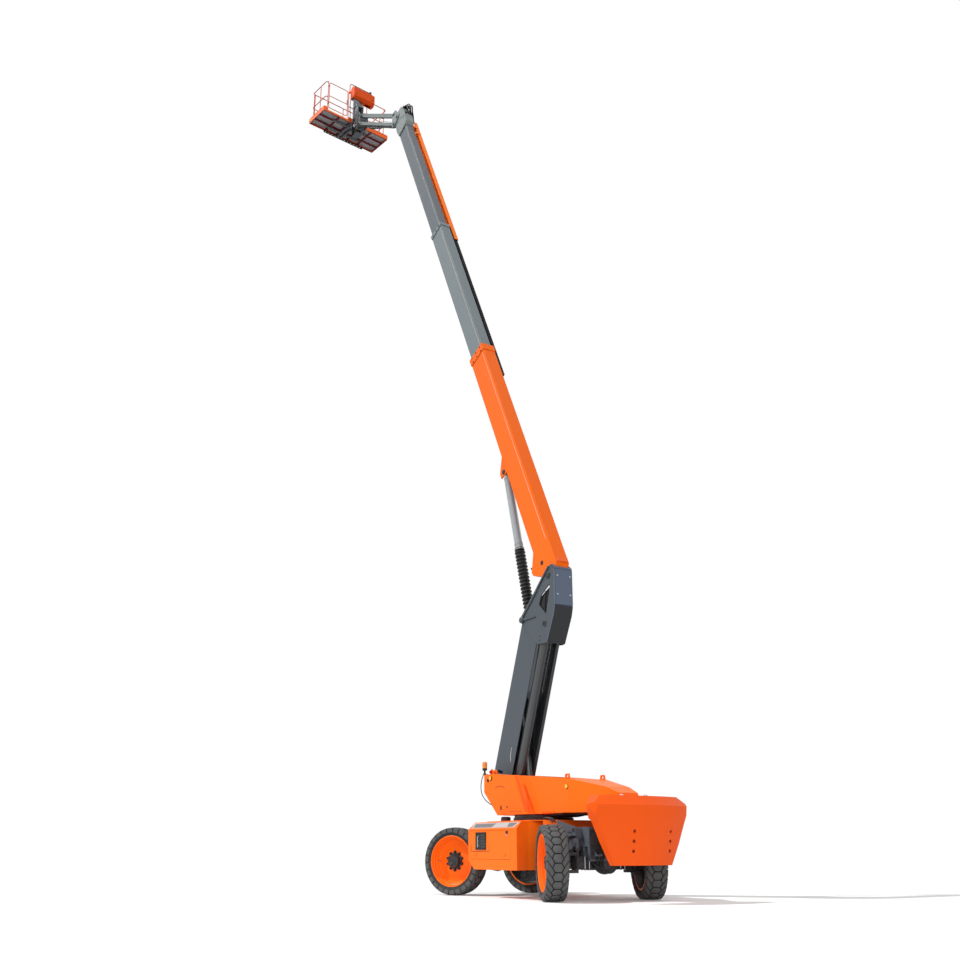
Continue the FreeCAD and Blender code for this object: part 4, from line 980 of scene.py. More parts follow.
def free_hose(name, body, route, radius):
    """A round hose on one smooth line, riding on the body given."""
    line = bpy.data.curves.new(name, "CURVE")
    line.dimensions = "3D"
    line.bevel_depth = radius
    line.bevel_resolution = 3
    line.resolution_u = 10
    line.use_fill_caps = True
    spline = line.splines.new("NURBS")
    spline.points.add(len(route) - 1)
    for point, spot in zip(spline.points, route):
        point.co = (*spot, 1)
    spline.order_u = 3
    spline.use_endpoint_u = True
    line.materials.append(HOSE)
    made = bpy.data.objects.new(name, line)
    bpy.context.collection.objects.link(made)
    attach(made, body)
    probe = bpy.data.objects.new("probe", line.copy())
    probe.data.bevel_depth = 0.0
    spots = bpy.data.meshes.new_from_object(probe).vertices


def beacon_cable():
    """Cable from the beacon's foot, round the front edge of the left side plate."""
    free_hose("beacon_cable", "turntable",
              [(1.150, 0.520, 2.170), (1.185, 0.535, 2.175), (1.225, 0.550, 2.130),
               (1.265, 0.560, 2.020), (1.270, 0.565, 1.900), (1.220, 0.570, 1.790),
               (1.120, 0.570, 1.700), (1.000, 0.568, 1.640), (0.935, 0.566, 1.610),
               (0.900, 0.560, 1.600), (0.890, 0.545, 1.598)], 0.008)


def counterweight_fittings():
    """Dark floors of the holes, and two caps on top."""
    work = Work().use(DARK_STEEL)
    for y in (0.27, -0.51):
        for z in (0.78, 0.93, 1.08):
            radius = 2.45 + 0.15 * (z - 0.565) / 0.915
            x = -0.40 - math.sqrt(radius * radius - y * y)
            work.rod((x + 0.055, y, z), (x + 0.040, y, z), 0.0276, 20)
    work.use(STEEL)
    for y in (-0.25, 0.25):
        work.lathe([(0, 0.035), (0.02, 0.035), (0.03, 0.025)], (-2.6, y, 1.63), Z, 20)
    work.done("counterweight_fittings", "turntable", "dark_steel")


turntable_fittings()
front_bracket()
beacon()
beacon_cable()
counterweight_fittings()


# ---------------------------------------------------------------- riser
def riser_fittings():
    """Pin heads, a thin white line and clipped hoses on the riser beam."""
    work = Work(RISER).use(RISER_GREY)
    for side in (1, -1):
        work.use(DARK_STEEL)
        work.lathe([(0, 0.085), (0.012, 0.085), (0.018, 0.076)], (0, side * 0.185, 0),
                   side * Y, 30)
        for turn in (0.6, 2.2, 3.8, 5.4):
            work.bolt((0.06 * math.cos(turn), side * 0.203, 0.06 * math.sin(turn)), side * Y,
                      0.009, False)
        work.use(RISER_GREY)
    # A thin white line low on the beam.
    work.use(WHITE)
    work.tube([(0.62, 0.1885, 0.12), (0.74, 0.1885, 0.07), (0.88, 0.1885, 0.055)], 0.004, 6)
    work.use(HOSE)
    for y, z in ((-0.155, 0.02), (-0.155, 0.055), (0.150, 0.30)):
        work.tube([(0.35, y, z - 0.06), (0.6, y, z), (1.5, y, z + 0.004), (2.5, y, z),
                   (3.0, y, z - 0.03)], 0.013, 8)
    work.done("riser_fittings", "riser", "riser_grey", 0.002)


def link_bars():
    """Level links as dark round-cornered tubes with welded eyes."""
    foot = pivot("link_swing")
    top = foot + (pivot("knuckle_level") - pivot("riser_lift"))
    length = (top - foot).length
    work = Work(frame_at(foot, top - foot, -X)).use(DARK_LINK_AND_SHADE_PAINT)
    for side in (1, -1):
        low, high = span(side, 0.085, 0.160)
        corner = 0.032
        outline = []
        for cy, cz, start in ((high, 0.11, 0), (low, 0.11, 90), (low, -0.11, 180),
                              (high, -0.11, 270)):
            inward_y = -corner if cy == high else corner
            inward_z = -corner if cz > 0 else corner
            for k in range(5):
                turn = math.radians(start + 22.5 * k)
                outline.append((cy + inward_y + corner * math.cos(turn),
                                cz + inward_z + corner * math.sin(turn)))
        work.slab(outline, -0.05, length + 0.05, "yz")
        work.use(DARK_STEEL)
        for along in (0, length):
            work.lathe([(0, 0.06), (0.006, 0.06), (0.010, 0.052)], (along, side * 0.160, 0),
                       side * Y, 28)
        work.use(DARK_LINK_AND_SHADE_PAINT)
    work.use(DARK_STEEL)
    for along in (0, length):
        work.rod((along, -0.162, 0), (along, 0.162, 0), 0.040, 24)
    made = work.done("link_tubes", "level_links", "dark_steel", 0.0, angle=30)
    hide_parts("level_links")


def cylinder_dress(arm, radius, barrel_end, material):
    """Collars, gland bolts, ports and a hard line on a cylinder's barrel."""
    body = f"{arm}_barrel"
    first = pivot(f"{body}_swing")
    second = first + heading(f"{arm}_rod_slide")
    work = Work(frame_at(first, second - first)).use(material)
    work.lathe([(0, radius + 0.004), (0.02, radius + 0.004)], (0.15, 0, 0), X, 32)
    work.lathe([(0, radius + 0.009), (0.012, radius + 0.009)], (barrel_end - 0.075, 0, 0), X, 32)
    work.use(DARK_STEEL)
    for y, z in ring(8, radius - 0.008):
        work.bolt((barrel_end, y, z), X, 0.008, False)
    work.use(DARK_STEEL if material is DARK_LINK_AND_SHADE_PAINT else STEEL)
    for along in (0.2, barrel_end - 0.12):
        work.rod((along, 0, radius - 0.005), (along, 0, radius + 0.03), 0.016, 14)
    work.tube([(0.2, 0, radius + 0.03), (0.26, 0, radius + 0.038),
               (barrel_end - 0.22, 0, radius + 0.038), (barrel_end - 0.12, 0, radius + 0.03)],
              0.008, 8)
    work.done(f"{arm}_lift_barrel_fittings", body, "dark_steel")


# ---------------------------------------------------------------- knuckle
# How far out the knuckle's side plates reach, and the eye of the boom cylinder's rod.
HALF = 0.210
ROD_EYE = Vector((0.300, 0, 5.030))


def knuckle_fittings():
    """Folded front edge, gusset, pin caps, cover bolts and a dark sheet of painted shade inside
    each side plate.
    """
    work = Work().use(RISER_GREY)
    eye = pivot("boom_lift")
    for side in (1, -1):
        edge = [(-0.240, 5.575), (-0.205, 5.545), (0.335, 5.078), (0.365, 5.035),
                (0.300, 4.965), (0.270, 4.985), (0.300, 5.045), (-0.235, 5.513)]
        low, high = span(side, HALF, HALF + 0.022)
        work.slab(edge, low, high)
        work.slab([(-0.62, 5.925), (-0.235, 5.575), (-0.255, 5.545), (-0.65, 5.905)], low, high)
        work.slab([(0.25, 5.055), (0.25, 5.005), (-0.16, 5.012), (-0.16, 5.026)],
                  side * HALF, side * (HALF + 0.020))
        work.lathe([(0, 0.062), (0.028, 0.062), (0.036, 0.050)], (0.30, side * HALF, 5.03),
                   side * Y, 32)
        work.lathe([(0, 0.055), (0.020, 0.055), (0.026, 0.045)],
                   (0.30, side * (HALF + 0.022), 5.03), side * Y, 28)
        work.use(SHADOW_SEAM)
        hub = pivot("knuckle_level") + Vector((-0.4, 0, -0.1))
        work.rod((hub.x, side * (HALF + 0.012), hub.z), (hub.x, side * (HALF + 0.0155), hub.z),
                 0.046, 28)
        for x, z in ((-0.302, 4.617), (-0.272, 4.548)):
            work.rod((x, side * (HALF - 0.001), z), (x, side * (HALF + 0.0015), z), 0.016, 16)
        work.use(DARK_STEEL)
        work.lathe([(0, 0.072), (0.010, 0.072), (0.015, 0.064)], (eye.x, side * HALF, eye.z),
                   side * Y, 30)
        for turn in (0.4, 2.5, 4.6):
            work.bolt((eye.x + 0.045 * math.cos(turn), side * (HALF + 0.014),
                       eye.z + 0.045 * math.sin(turn)), side * Y, 0.009, False)
        work.use(RISER_GREY)
    # Dark sheet inside each side of the knuckle: painted shade that closes the view through it.
    work.use(SHADOW_SEAM)
    for side in (1, -1):
        low, high = span(side, 0.172, 0.177)
        work.slab([(-0.68, 5.48), (-0.70, 5.20), (-0.53, 4.96), (-0.22, 5.20), (-0.30, 5.38),
                   (-0.42, 5.44), (-0.58, 5.51)], low, high)
    work.use(HOSE)
    for y in (-0.12, -0.04, 0.06, 0.14):
        work.tube([(-0.62, y, 5.05), (-0.57, y * 0.8, 5.18), (-0.55, y, 5.32)], 0.013, 8)
    for side in (1, -1):
        for x in (-0.52, -0.44):
            work.tube([(x, side * 0.190, 5.10), (x - 0.02, side * 0.192, 5.28),
                       (x - 0.04, side * 0.190, 5.46)], 0.012, 8)
    work.done("knuckle_fittings", "knuckle", "riser_grey", 0.003)


def cover_fittings():
    """Flanges, bolts and a dark skin of painted shade on the lower of the two rear covers."""
    # Thin sheet over the lower cover: painted shade, since that cover faces down.
    work = Work().use(SHADED_COVER)
    work.slab([(-0.8045, 5.135), (-0.7585, 4.963), (-0.5175, 4.474), (-0.516, 4.475),
               (-0.757, 4.965), (-0.803, 5.135)], -0.207, 0.207)
    work.use(COVER_GREY)
    work.slab([(-0.8035, 5.835), (-0.8035, 5.155), (-0.809, 5.155), (-0.809, 5.835)],
              -0.185, 0.185)
    work.slab([(-0.66, 5.937), (-0.735, 5.937), (-0.800, 5.868), (-0.800, 5.842),
               (-0.79, 5.842), (-0.73, 5.925), (-0.66, 5.925)], -HALF, HALF)
    work.use(STEEL)
    for y in (0.14, -0.15):
        for z in (5.71, 5.35):
            work.bolt((-0.809, y, z), -X, 0.013)
    work.use(DARK_STEEL)
    out = Vector((-0.908, 0, -0.42))
    for y in (0.13, -0.13):
        for far in (0.10, 0.50):
            spot = Vector((-0.758 + 0.431 * far, y, 4.963 - 0.902 * far))
            work.bolt(spot, out, 0.010)
    work.done("cover_fittings", "knuckle", "riser_grey", 0.002)


# ---------------------------------------------------------------- telescopic boom
# Y of the side faces of the three boom sections.
BASE_SIDE, MID_SIDE, FLY_SIDE = 0.1502, 0.1226, 0.1002


def base_boom_fittings():
    """Foot caps, painted highlight lines, edge bands, wear pads and their bolts on the base
    section.
    """
    work = Work(BOOM)
    for side in (1, -1):
        work.use(SHADOW_SEAM)
        hole = BOOM.inverted() @ Vector((-0.320, 0, 6.055))
        work.rod((hole.x, side * 0.149, hole.z), (hole.x, side * 0.1515, hole.z), 0.048, 28)
        # Pale line along the side: a painted highlight.
        work.use(PAINTED_EDGE_HIGHLIGHT)
        work.strip(0.75, 6.22, side * BASE_SIDE, 0.0012, 0.196, 0.204)
        work.use(ORANGE)
        for low, high in ((-0.262, -0.246), (0.246, 0.262)):
            work.strip(0.62, 6.25, side * BASE_SIDE, 0.0018, low, high)
        work.lathe([(0, 0.095), (0.008, 0.095), (0.012, 0.088)], (0, side * 0.150, 0),
                   side * Y, 32)
        work.use(DARK_STEEL)
        for along in (6.29, 6.41):
            for high in (-0.18, 0.0, 0.18):
                work.bolt((along, side * 0.166, high), side * Y, 0.014)
    work.use(BLACK_PLASTIC)
    for side in (1, -1):
        for high in (-0.225, 0.225):
            work.strip(6.405, 6.462, side * 0.1415, 0.009, high - 0.035, high + 0.035)
    for high in (-1, 1):
        for y in (-0.085, 0.085):
            work.strip(6.405, 6.462, y, 0.035, *span(high, 0.247, 0.265))
    work.use(DARK_STEEL)
    for along, high in ((0.56, -0.516), (0.47, -0.511)):
        for y in (0.09, -0.09):
            work.bolt((along, y, high), (-0.13, 0, -1), 0.022)
    work.box((0.66, -0.05, -0.300), (0.74, 0.05, -0.276))
    work.use(ORANGE)
    work.box((6.05, -0.06, -0.292), (6.20, 0.06, -0.2755))
    work.use(BLACK_PLASTIC)
    work.box((6.10, -0.035, -0.325), (6.17, 0.035, -0.292))
    work.use(DEEP_ORANGE)
    work.box((0.13, -0.13, 0.2755), (0.24, 0.13, 0.300))
    work.done("base_boom_fittings", "base_boom", "orange_paint", 0.002)


def lift_bracket():
    """Pin caps and hose ports where the boom cylinder hangs under the base tube."""
    work = Work(BOOM).use(DARK_STEEL)
    for side in (1, -1):
        work.lathe([(0, 0.052), (0.010, 0.052), (0.016, 0.044)], (3.10, side * 0.086, -0.44),
                   side * Y, 28)
        work.use(ORANGE)
        work.slab([(2.92, -0.277), (3.30, -0.277), (3.18, -0.36), (3.02, -0.36)],
                  side * 0.098, side * 0.106)
        work.use(DARK_STEEL)
        work.bolt((3.40, side * 0.086, -0.31), side * Y, 0.014)
        work.bolt((2.88, side * 0.086, -0.295), side * Y, 0.012)
    work.use(BLACK_PLASTIC)
    work.rod((2.70, -0.06, -0.292), (2.70, 0.06, -0.292), 0.017, 14)
    work.done("lift_bracket", "base_boom", "dark_steel", 0.002)


def mid_boom_fittings():
    """Painted highlight lines, edge bands, wear pads and their bolts on the middle section."""
    work = Work(BOOM)
    for side in (1, -1):
        # Pale line along the side: a painted highlight.
        work.use(PAINTED_EDGE_HIGHLIGHT)
        work.strip(6.50, 11.10, side * MID_SIDE, 0.001, 0.170, 0.177)
        work.use(BOOM_GREY)
        for high in (-0.222, 0.222):
            work.strip(6.50, 11.11, side * MID_SIDE, 0.0018, high - 0.008, high + 0.008)
        work.use(DARK_STEEL)
        for along in (11.155, 11.215):
            for high in (-0.16, 0.0, 0.16):
                work.bolt((along, side * 0.1365, high), side * Y, 0.012)
        work.use(BLACK_PLASTIC)
        for high in (-0.20, 0.20):
            work.strip(11.205, 11.262, side * 0.1155, 0.010, high - 0.03, high + 0.03)
    work.use(BLACK_PLASTIC)
    for high in (-1, 1):
        for y in (-0.06, 0.06):
            work.strip(11.205, 11.262, y, 0.03, *span(high, 0.217, 0.240))
    work.box((11.13, -0.03, -0.300), (11.19, 0.03, -0.2595))
    work.done("mid_boom_fittings", "mid_boom", "boom_grey", 0.0015, 1)


# Y of the hose track and its tray, beside the boom.
TRACK_LANE = -0.225


def cable_chain():
    """The hose track as a row of linked black frames with hoses inside."""
    work = Work(BOOM)
    lane = TRACK_LANE
    start, stop = 5.575, 11.235
    count = 66
    pitch = (stop - start) / count
    for k in range(count):
        a = start + k * pitch
        work.use(BLACK_PLASTIC)
        for side in (-1, 1):
            y = lane + side * 0.030
            work.slab([(a + 0.004, 0.146), (a + pitch * 0.72, 0.142), (a + pitch + 0.006, 0.150),
                       (a + pitch + 0.006, 0.216), (a + pitch * 0.72, 0.226),
                       (a + 0.004, 0.222)], y - 0.0045, y + 0.0045)
            work.rod((a + 0.012, y + side * 0.0045, 0.184), (a + 0.012, y + side * 0.0065, 0.184),
                     0.014, 10)
        for z in (0.147, 0.221):
            work.box((a + pitch * 0.30, lane - 0.031, z - 0.004),
                     (a + pitch * 0.70, lane + 0.031, z + 0.004))
    work.use(HOSE)
    for y, z, radius in ((-0.015, 0.170, 0.010), (0.008, 0.172, 0.012), (0.0, 0.198, 0.009)):
        work.rod((start, lane + y, z), (stop, lane + y, z), radius, 10)
    work.use(DARK_STEEL)
    for low, high in ((0.172, 0.180), (0.200, 0.208)):
        work.box((11.14, -0.20, low), (11.23, -0.137, high))
    work.box((11.14, -0.200, 0.150), (11.23, -0.192, 0.228))
    made = work.done("hose_chain", "mid_boom", "black_plastic")
    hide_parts("cable_track")


def tray_fittings():
    """Folded lips, joints and rivets of the orange hose tray."""
    work = Work(BOOM).use(ORANGE)
    lane = TRACK_LANE
    for k in range(6):
        a = 10.70 + k * 1.08
        work.box((a, lane - 0.0525, 0.119), (a + 0.05, lane + 0.0515, 0.1215))
        work.box((a, lane - 0.0525, 0.119), (a + 0.05, lane - 0.0495, 0.2515))
    work.use(STEEL)
    for k in range(12):
        a = 10.72 + k * 0.50
        work.bolt((a, lane - 0.0525, 0.185), -Y, 0.008, False)
    work.done("tray_fittings", "fly_boom", "orange_paint", 0.001, 1)


def fly_boom_fittings():
    """Painted highlight lines, edge bands and bolts on the fly section."""
    work = Work(BOOM)
    for side in (1, -1):
        # Pale line along the side: a painted highlight.
        work.use(PAINTED_EDGE_HIGHLIGHT)
        work.strip(11.30, 16.10, side * FLY_SIDE, 0.001, 0.150, 0.156)
        work.use(BOOM_GREY)
        for high in (-0.195, 0.195):
            work.strip(11.30, 16.10, side * FLY_SIDE, 0.0016, high - 0.007, high + 0.007)
    work.use(DARK_STEEL)
    for y in (-0.05, 0.05):
        work.bolt((11.55, y, -0.2155), -Z, 0.010)
    work.done("fly_boom_fittings", "fly_boom", "boom_grey", 0.001, 1)


def bellows():
    """Corrugated boot over the rod of the boom cylinder."""
    first = pivot("boom_barrel_swing")
    second = first + heading("boom_rod_slide").normalized() * 3.6
    low = 1.825
    length = (first - ROD_EYE).length - 0.15 - low
    work = Work(frame_at(first, second - first)).use(BELLOWS_RUBBER)
    profile = [(low, 0.088), (low, 0.100), (low + 0.05, 0.100)]
    folds = 17
    pitch = (length - 0.10) / folds
    for k in range(folds):
        a = low + 0.05 + k * pitch
        profile += [(a + pitch * share, radius) for share, radius in (
            (0.06, 0.070), (0.20, 0.070), (0.46, 0.106), (0.60, 0.111), (0.74, 0.106))]
    end = low + length
    profile += [(end - 0.05, 0.084), (end - 0.045, 0.096), (end, 0.096), (end, 0.050)]
    work.lathe(profile, (0, 0, 0), X, 40)
    work.use(STEEL)
    for along, radius in ((low + 0.02, 0.1025), (end - 0.025, 0.0985)):
        work.lathe([(0, radius), (0.012, radius)], (along, 0, 0), X, 36)
        work.rod((along + 0.006, 0.0, radius), (along + 0.006, 0.03, radius), 0.006, 8)
    made = work.done("boot", "boom_rod", "bellows_rubber")
    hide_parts("boom_lift_bellows")
    along = (second - first).normalized()
    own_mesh(made)


riser_fittings()
link_bars()
knuckle_fittings()
cover_fittings()
base_boom_fittings()
lift_bracket()
mid_boom_fittings()
cable_chain()
tray_fittings()
fly_boom_fittings()
bellows()
# The riser cylinder's collars take the dark link paint as painted shade.
cylinder_dress("riser", 0.070, 1.11, DARK_LINK_AND_SHADE_PAINT)
cylinder_dress("boom", 0.082, 1.80, BARREL)
cylinder_dress("jib", 0.052, 1.56, BARREL)


# ---------------------------------------------------------------- boom head and jib
# Where the fly section ends and the boom head starts.
TIP = 16.45


def head_fittings():
    """Folded side plates, guide rollers and pin caps on the boom head."""
    work = Work(BOOM).use(HEAD_GREY)
    tip = TIP
    pin = BOOM.inverted() @ pivot("head_level")
    for side in (1, -1):
        outer = side * 0.120
        low, high = sorted((outer, outer + side * 0.010))
        work.slab([(tip - 0.315, -0.215), (tip - 0.025, -0.258), (tip + 0.02, -0.21),
                   (tip + 0.02, 0.30), (tip - 0.24, 0.288), (tip - 0.335, 0.215)], low, high)
        work.use(SHADOW_SEAM)
        work.tube([(tip + 0.02, outer, 0.31), (tip + 0.17, outer, 0.10),
                   (tip + 0.20, outer, -0.20)], 0.005, 6, False)
        work.use(HEAD_GREY)
        work.slab([(tip + 0.24, -0.14), (tip + 0.52, -0.10), (tip + 0.545, 0.07),
                   (tip + 0.40, 0.10)], low, high)
        work.use(DARK_STEEL)
        work.lathe([(0, 0.056), (0.012, 0.056), (0.018, 0.048)],
                   (pin.x, outer + side * 0.012, pin.z), side * Y, 28)
        for along, up in ((tip - 0.27, -0.13), (tip - 0.27, 0.12), (tip - 0.03, -0.17),
                          (tip - 0.03, 0.22)):
            work.bolt((along, outer + side * 0.010, up), side * Y, 0.012)
        work.use(HEAD_GREY)
    work.use(BLACK_PLASTIC)
    for y in (-0.07, 0.07):
        work.rod((tip + 0.12, y - 0.03, 0.335), (tip + 0.12, y + 0.03, 0.335), 0.028, 18)
    work.use(DARK_STEEL)
    for y in (-0.105, 0.105):
        work.slab([(tip + 0.06, 0.31), (tip + 0.20, 0.31), (tip + 0.16, 0.375),
                   (tip + 0.10, 0.375)], y - 0.005, y + 0.005)
    for y in (0.05, -0.05):
        work.rod((tip + 0.50, y, 0.262), (tip + 0.53, y, 0.315), 0.026, 16)
    work.done("head_fittings", "fly_boom", "head_grey", 0.003)


def jib_fittings():
    """Brackets, cross plates, seams and hose clips on the two jib arms."""
    work = Work(JIB).use(JIB_GREY)
    for side in (1, -1):
        inner, outer = span(side, 0.1255, 0.1285)
        for along in (0.30, 0.95, 1.62, 2.30, 2.78):
            work.box((along, inner, -0.047), (along + 0.05, outer, 0.047))
        work.use(DARK_STEEL)
        for along in (0, 3.0):
            work.lathe([(0, 0.045), (0.008, 0.045)], (along, side * 0.125, 0), side * Y, 24)
        work.use(JIB_GREY)
    for along in (0.55, 1.15, 2.86):
        work.box((along, -0.085, -0.040), (along + 0.06, 0.085, -0.020))
    work.use(SHADOW_SEAM)
    for k in range(7):
        a = 1.79 + 0.135 * k
        for y in (-0.05, 0.05):
            work.rod((a, y, -0.0465), (a, y, -0.0455), 0.030, 16)
    work.use(RED)
    work.box((1.42, 0.06, -0.035), (1.50, 0.084, 0.02))
    work.use(HOSE)
    for y, z in ((-0.072, -0.012), (-0.072, 0.016), (0.070, 0.0)):
        work.tube([(0.16, y, z + 0.03), (0.5, y, z), (1.5, y, z - 0.004), (2.5, y, z),
                   (2.84, y, z + 0.03)], 0.011, 8)
    for y, sag in ((0.06, 0.105), (0.02, 0.120), (-0.05, 0.095)):
        work.tube([(0.25, y, -0.045), (0.45, y, -0.062), (0.85, y, -0.6 * sag), (1.25, y, -0.062),
                   (1.70, y, -sag), (2.15, y, -sag), (2.50, y, -0.062), (2.75, y, -0.045)],
                  0.014, 8)
    work.done("jib_fittings", "jib_lower", "boom_grey", 0.002)


def upper_arm_fittings():
    """End plates, pin caps, bands and hoses on the jib's upper arm."""
    upper = pivot("jib_upper_swing")
    far = upper + (pivot("support_level") - pivot("jib_lift"))
    work = Work(frame_at(upper, far - upper)).use(JIB_GREY)
    for side in (1, -1):
        inner, outer = span(side, 0.0552, 0.060)
        for along in (-0.03, 2.86):
            work.box((along, inner, -0.052), (along + 0.17, outer, 0.052))
        work.use(DARK_STEEL)
        for along in (0, 3.0):
            work.lathe([(0, 0.042), (0.008, 0.042)], (along, side * 0.060, 0), side * Y, 24)
        work.use(JIB_GREY)
    for along in (0.9, 1.9):
        work.box((along, -0.058, -0.053), (along + 0.05, 0.058, 0.053))
    work.use(HOSE)
    for y in (-0.025, 0.0, 0.025):
        work.tube([(0.12, y, 0.064), (1.0, y, 0.062), (2.0, y, 0.062), (2.85, y, 0.064)],
                  0.010, 8)
    work.use(RED)
    work.box((1.20, -0.03, -0.072), (1.28, 0.03, -0.051))
    work.done("upper_arm_fittings", "jib_upper", "boom_grey", 0.002)


def bracket_fittings():
    """Pin caps and bolts on the levelling bracket."""
    work = Work().use(DARK_STEEL)
    for name in ("head_level", "jib_lift", "jib_upper_swing"):
        spot = pivot(name)
        for side in (1, -1):
            work.lathe([(0, 0.052), (0.010, 0.052), (0.014, 0.044)],
                       (spot.x, side * 0.150, spot.z), side * Y, 26)
    for side in (1, -1):
        work.bolt((6.66, side * 0.150, 21.20), side * Y, 0.016)
        work.bolt((6.76, side * 0.150, 21.17), side * Y, 0.012)
    work.done("bracket_fittings", "jib_bracket", "head_grey", 0.002)


def looped_hoses():
    """Hoses that leave the tray, arch over the boom head and run on to the jib."""
    tip = TIP
    lanes = ((-0.090, 0.42, 0.020), (-0.045, 0.40, 0.018), (0.000, 0.44, 0.021),
             (0.045, 0.39, 0.017))
    for number, (y, rise, radius) in enumerate(lanes):
        route = [(tip - 0.10, -0.215, 0.20), (tip + 0.02, -0.20, 0.22),
                 (tip + 0.10, y - 0.08, 0.31), (tip + 0.15, y, rise), (tip + 0.27, y, rise + 0.07),
                 (tip + 0.42, y, rise + 0.03), (tip + 0.50, y, rise - 0.12), (tip + 0.52, y, 0.16)]
        world = [BOOM @ Vector(point) for point in route]
        free_hose(f"head_hose_{number + 1}", "fly_boom", world, radius)


# ---------------------------------------------------------------- support and platform
def support_fittings():
    """Post caps, hose ports, rotator housing and valve block on the level post."""
    low = pivot("support_level")
    work = Work().use(DARK_STEEL)
    upper = low + (pivot("jib_upper_swing") - pivot("jib_lift"))
    for spot in (low, upper):
        for side in (1, -1):
            work.lathe([(0, 0.050), (0.010, 0.050), (0.014, 0.042)],
                       (spot.x, side * 0.147, spot.z), side * Y, 26)
    work.use(BLACK_PAINT_AND_SHADE)
    for side in (1, -1):
        near_face, far_face = span(side, 0.1472, 0.1487)
        work.slab([(low.x - 0.055, low.z - 0.055), (low.x + 0.22, low.z - 0.055),
                   (low.x + 0.22, upper.z + 0.115), (upper.x - 0.03, upper.z + 0.06),
                   (upper.x - 0.055, upper.z)], near_face, far_face)
    work.box((low.x + 0.228, -0.1025, 22.473), (9.7625, 0.1025, 22.735))
    work.lathe([(0, 0.118), (0.015, 0.126), (0.075, 0.126), (0.09, 0.118)],
               (SWIVEL_X, 0, 22.380), Z, 40)
    for along, y in ring(10, 0.100):
        work.bolt((SWIVEL_X + along, y, 22.474), Z, 0.010)
    work.use(DARK_STEEL)
    work.box((9.575, 0.1005, 22.62), (9.700, 0.150, 22.80))
    ports = [9.590 + 0.030 * k for k in range(4)]
    for x in ports:
        work.rod((x, 0.150, 22.66), (x, 0.172, 22.66), 0.010, 12)
    work.use(SUPPORT_GREY)
    for z in (22.74, 23.36):
        work.box((9.548, -0.104, z), (9.764, 0.104, z + 0.03))
    work.use(STEEL)
    for x in ports:
        work.tube([(x, 0.172, 22.66), (x - 0.01, 0.185, 22.60), (x - 0.06, 0.165, 22.56),
                   (x - 0.14, 0.150, 22.57)], 0.007, 6)
    work.use(HOSE)
    for k, y in enumerate((-0.115, -0.135, 0.12)):
        work.tube([(9.40, y, 22.97), (9.50, y, 23.08 + 0.03 * k), (9.60, y, 23.12),
                   (9.68, y, 22.95), (9.69, y, 22.70), (9.66, y, 22.52)], 0.012, 8)
    work.done("support_fittings", "support", "boom_grey", 0.002)


FLOOR = DECK @ Matrix.Translation((0, -0.110, 0))
NEAR = 0.290
DEEP = 0.910
WIDE = 2.440


def arm_fittings():
    """Grey carrier beams, step bar and hoses below the platform."""
    work = Work(DECK).use(SUPPORT_GREY)
    for side in (1, -1):
        beam = side * 0.070
        work.slab([(0.20, -0.09), (0.20, -0.25), (0.30, -0.25), (0.62, -0.11), (0.62, -0.09)],
                  beam - 0.006, beam + 0.006)
        work.strip(0.22, 1.16, beam, 0.034, -0.092, -0.088)
    for low, high in ((0.50, 0.56), (0.90, 0.96)):
        work.slab([(-0.62, -0.075), (-0.62, -0.035), (0.62, -0.035), (0.62, -0.075)], low, high,
                  "yz")
    for z in (0.22, 0.42, 0.62):
        work.box((0.160, -0.103, z), (0.209, 0.103, z + 0.025))
    work.use(BLACK_PAINT_AND_SHADE)
    work.box((0.1635, -0.1015, -0.634), (0.2065, 0.1015, 0.05))
    work.lathe([(0, 0.100), (0.022, 0.100), (0.03, 0.09)], (0, 0, 0.489), Z, 36)
    work.use(HOSE)
    for k in range(4):
        y = -0.05 + 0.034 * k
        work.tube([(0.214, y, -0.42), (0.236, y, -0.2), (0.232, y, 0.1), (0.236, y, 0.5),
                   (0.225, y, 0.80)], 0.010, 8)
    for y in (-0.16, 0.16):
        work.tube([(0.19, y * 0.55, -0.40), (0.24, y, -0.30), (0.20, y * 1.2, 0.1),
                   (0.18, y * 1.4, 0.5), (0.19, y * 1.2, 0.82)], 0.012, 8)
    work.done("arm_fittings", "platform", "boom_grey", 0.002)


def step_bar():
    """Dark step bar with round holes below the far edge of the floor."""
    work = Work(FLOOR).use(BLACK_PAINT_AND_SHADE)
    x = NEAR + DEEP
    holes = [-0.72 + 0.12 * k for k in range(12)]
    low, high = -0.098, -0.031
    radius = 0.023
    centre = (low + high) / 2
    edges = [-0.80] + [(a + b) / 2 for a, b in zip(holes, holes[1:])] + [0.68]
    for y, left, right in zip(holes, edges, edges[1:]):
        rim_line = [(y + across, centre + up) for across, up in ring(16, radius)]
        square = []
        for across, up in ring(16, 1):
            reach = min((right - y if across > 0 else y - left) / max(abs(across), 1e-6),
                        (high - low) / 2 / max(abs(up), 1e-6))
            square.append((y + across * reach, centre + up * reach))
        points = [(x - deep, a, b) for deep in (0.006, 0.018) for a, b in rim_line + square]
        faces = []
        for k in range(16):
            after = (k + 1) % 16
            faces += [(k, after, 16 + after, 16 + k), (32 + k, 32 + after, 48 + after, 48 + k),
                      (k, 32 + k, 32 + after, after), (16 + k, 16 + after, 48 + after, 48 + k)]
        work.take(points, faces)
    work.box((x - 0.05, -0.80, -0.098), (x - 0.006, 0.68, -0.092))
    for y in (-0.80, -0.31, 0.19, 0.66):
        work.box((x - 0.05, y, -0.095), (x - 0.018, y + 0.02, -0.026))
    work.done("step_bar", "platform", "dark_steel", 0.001, 1)


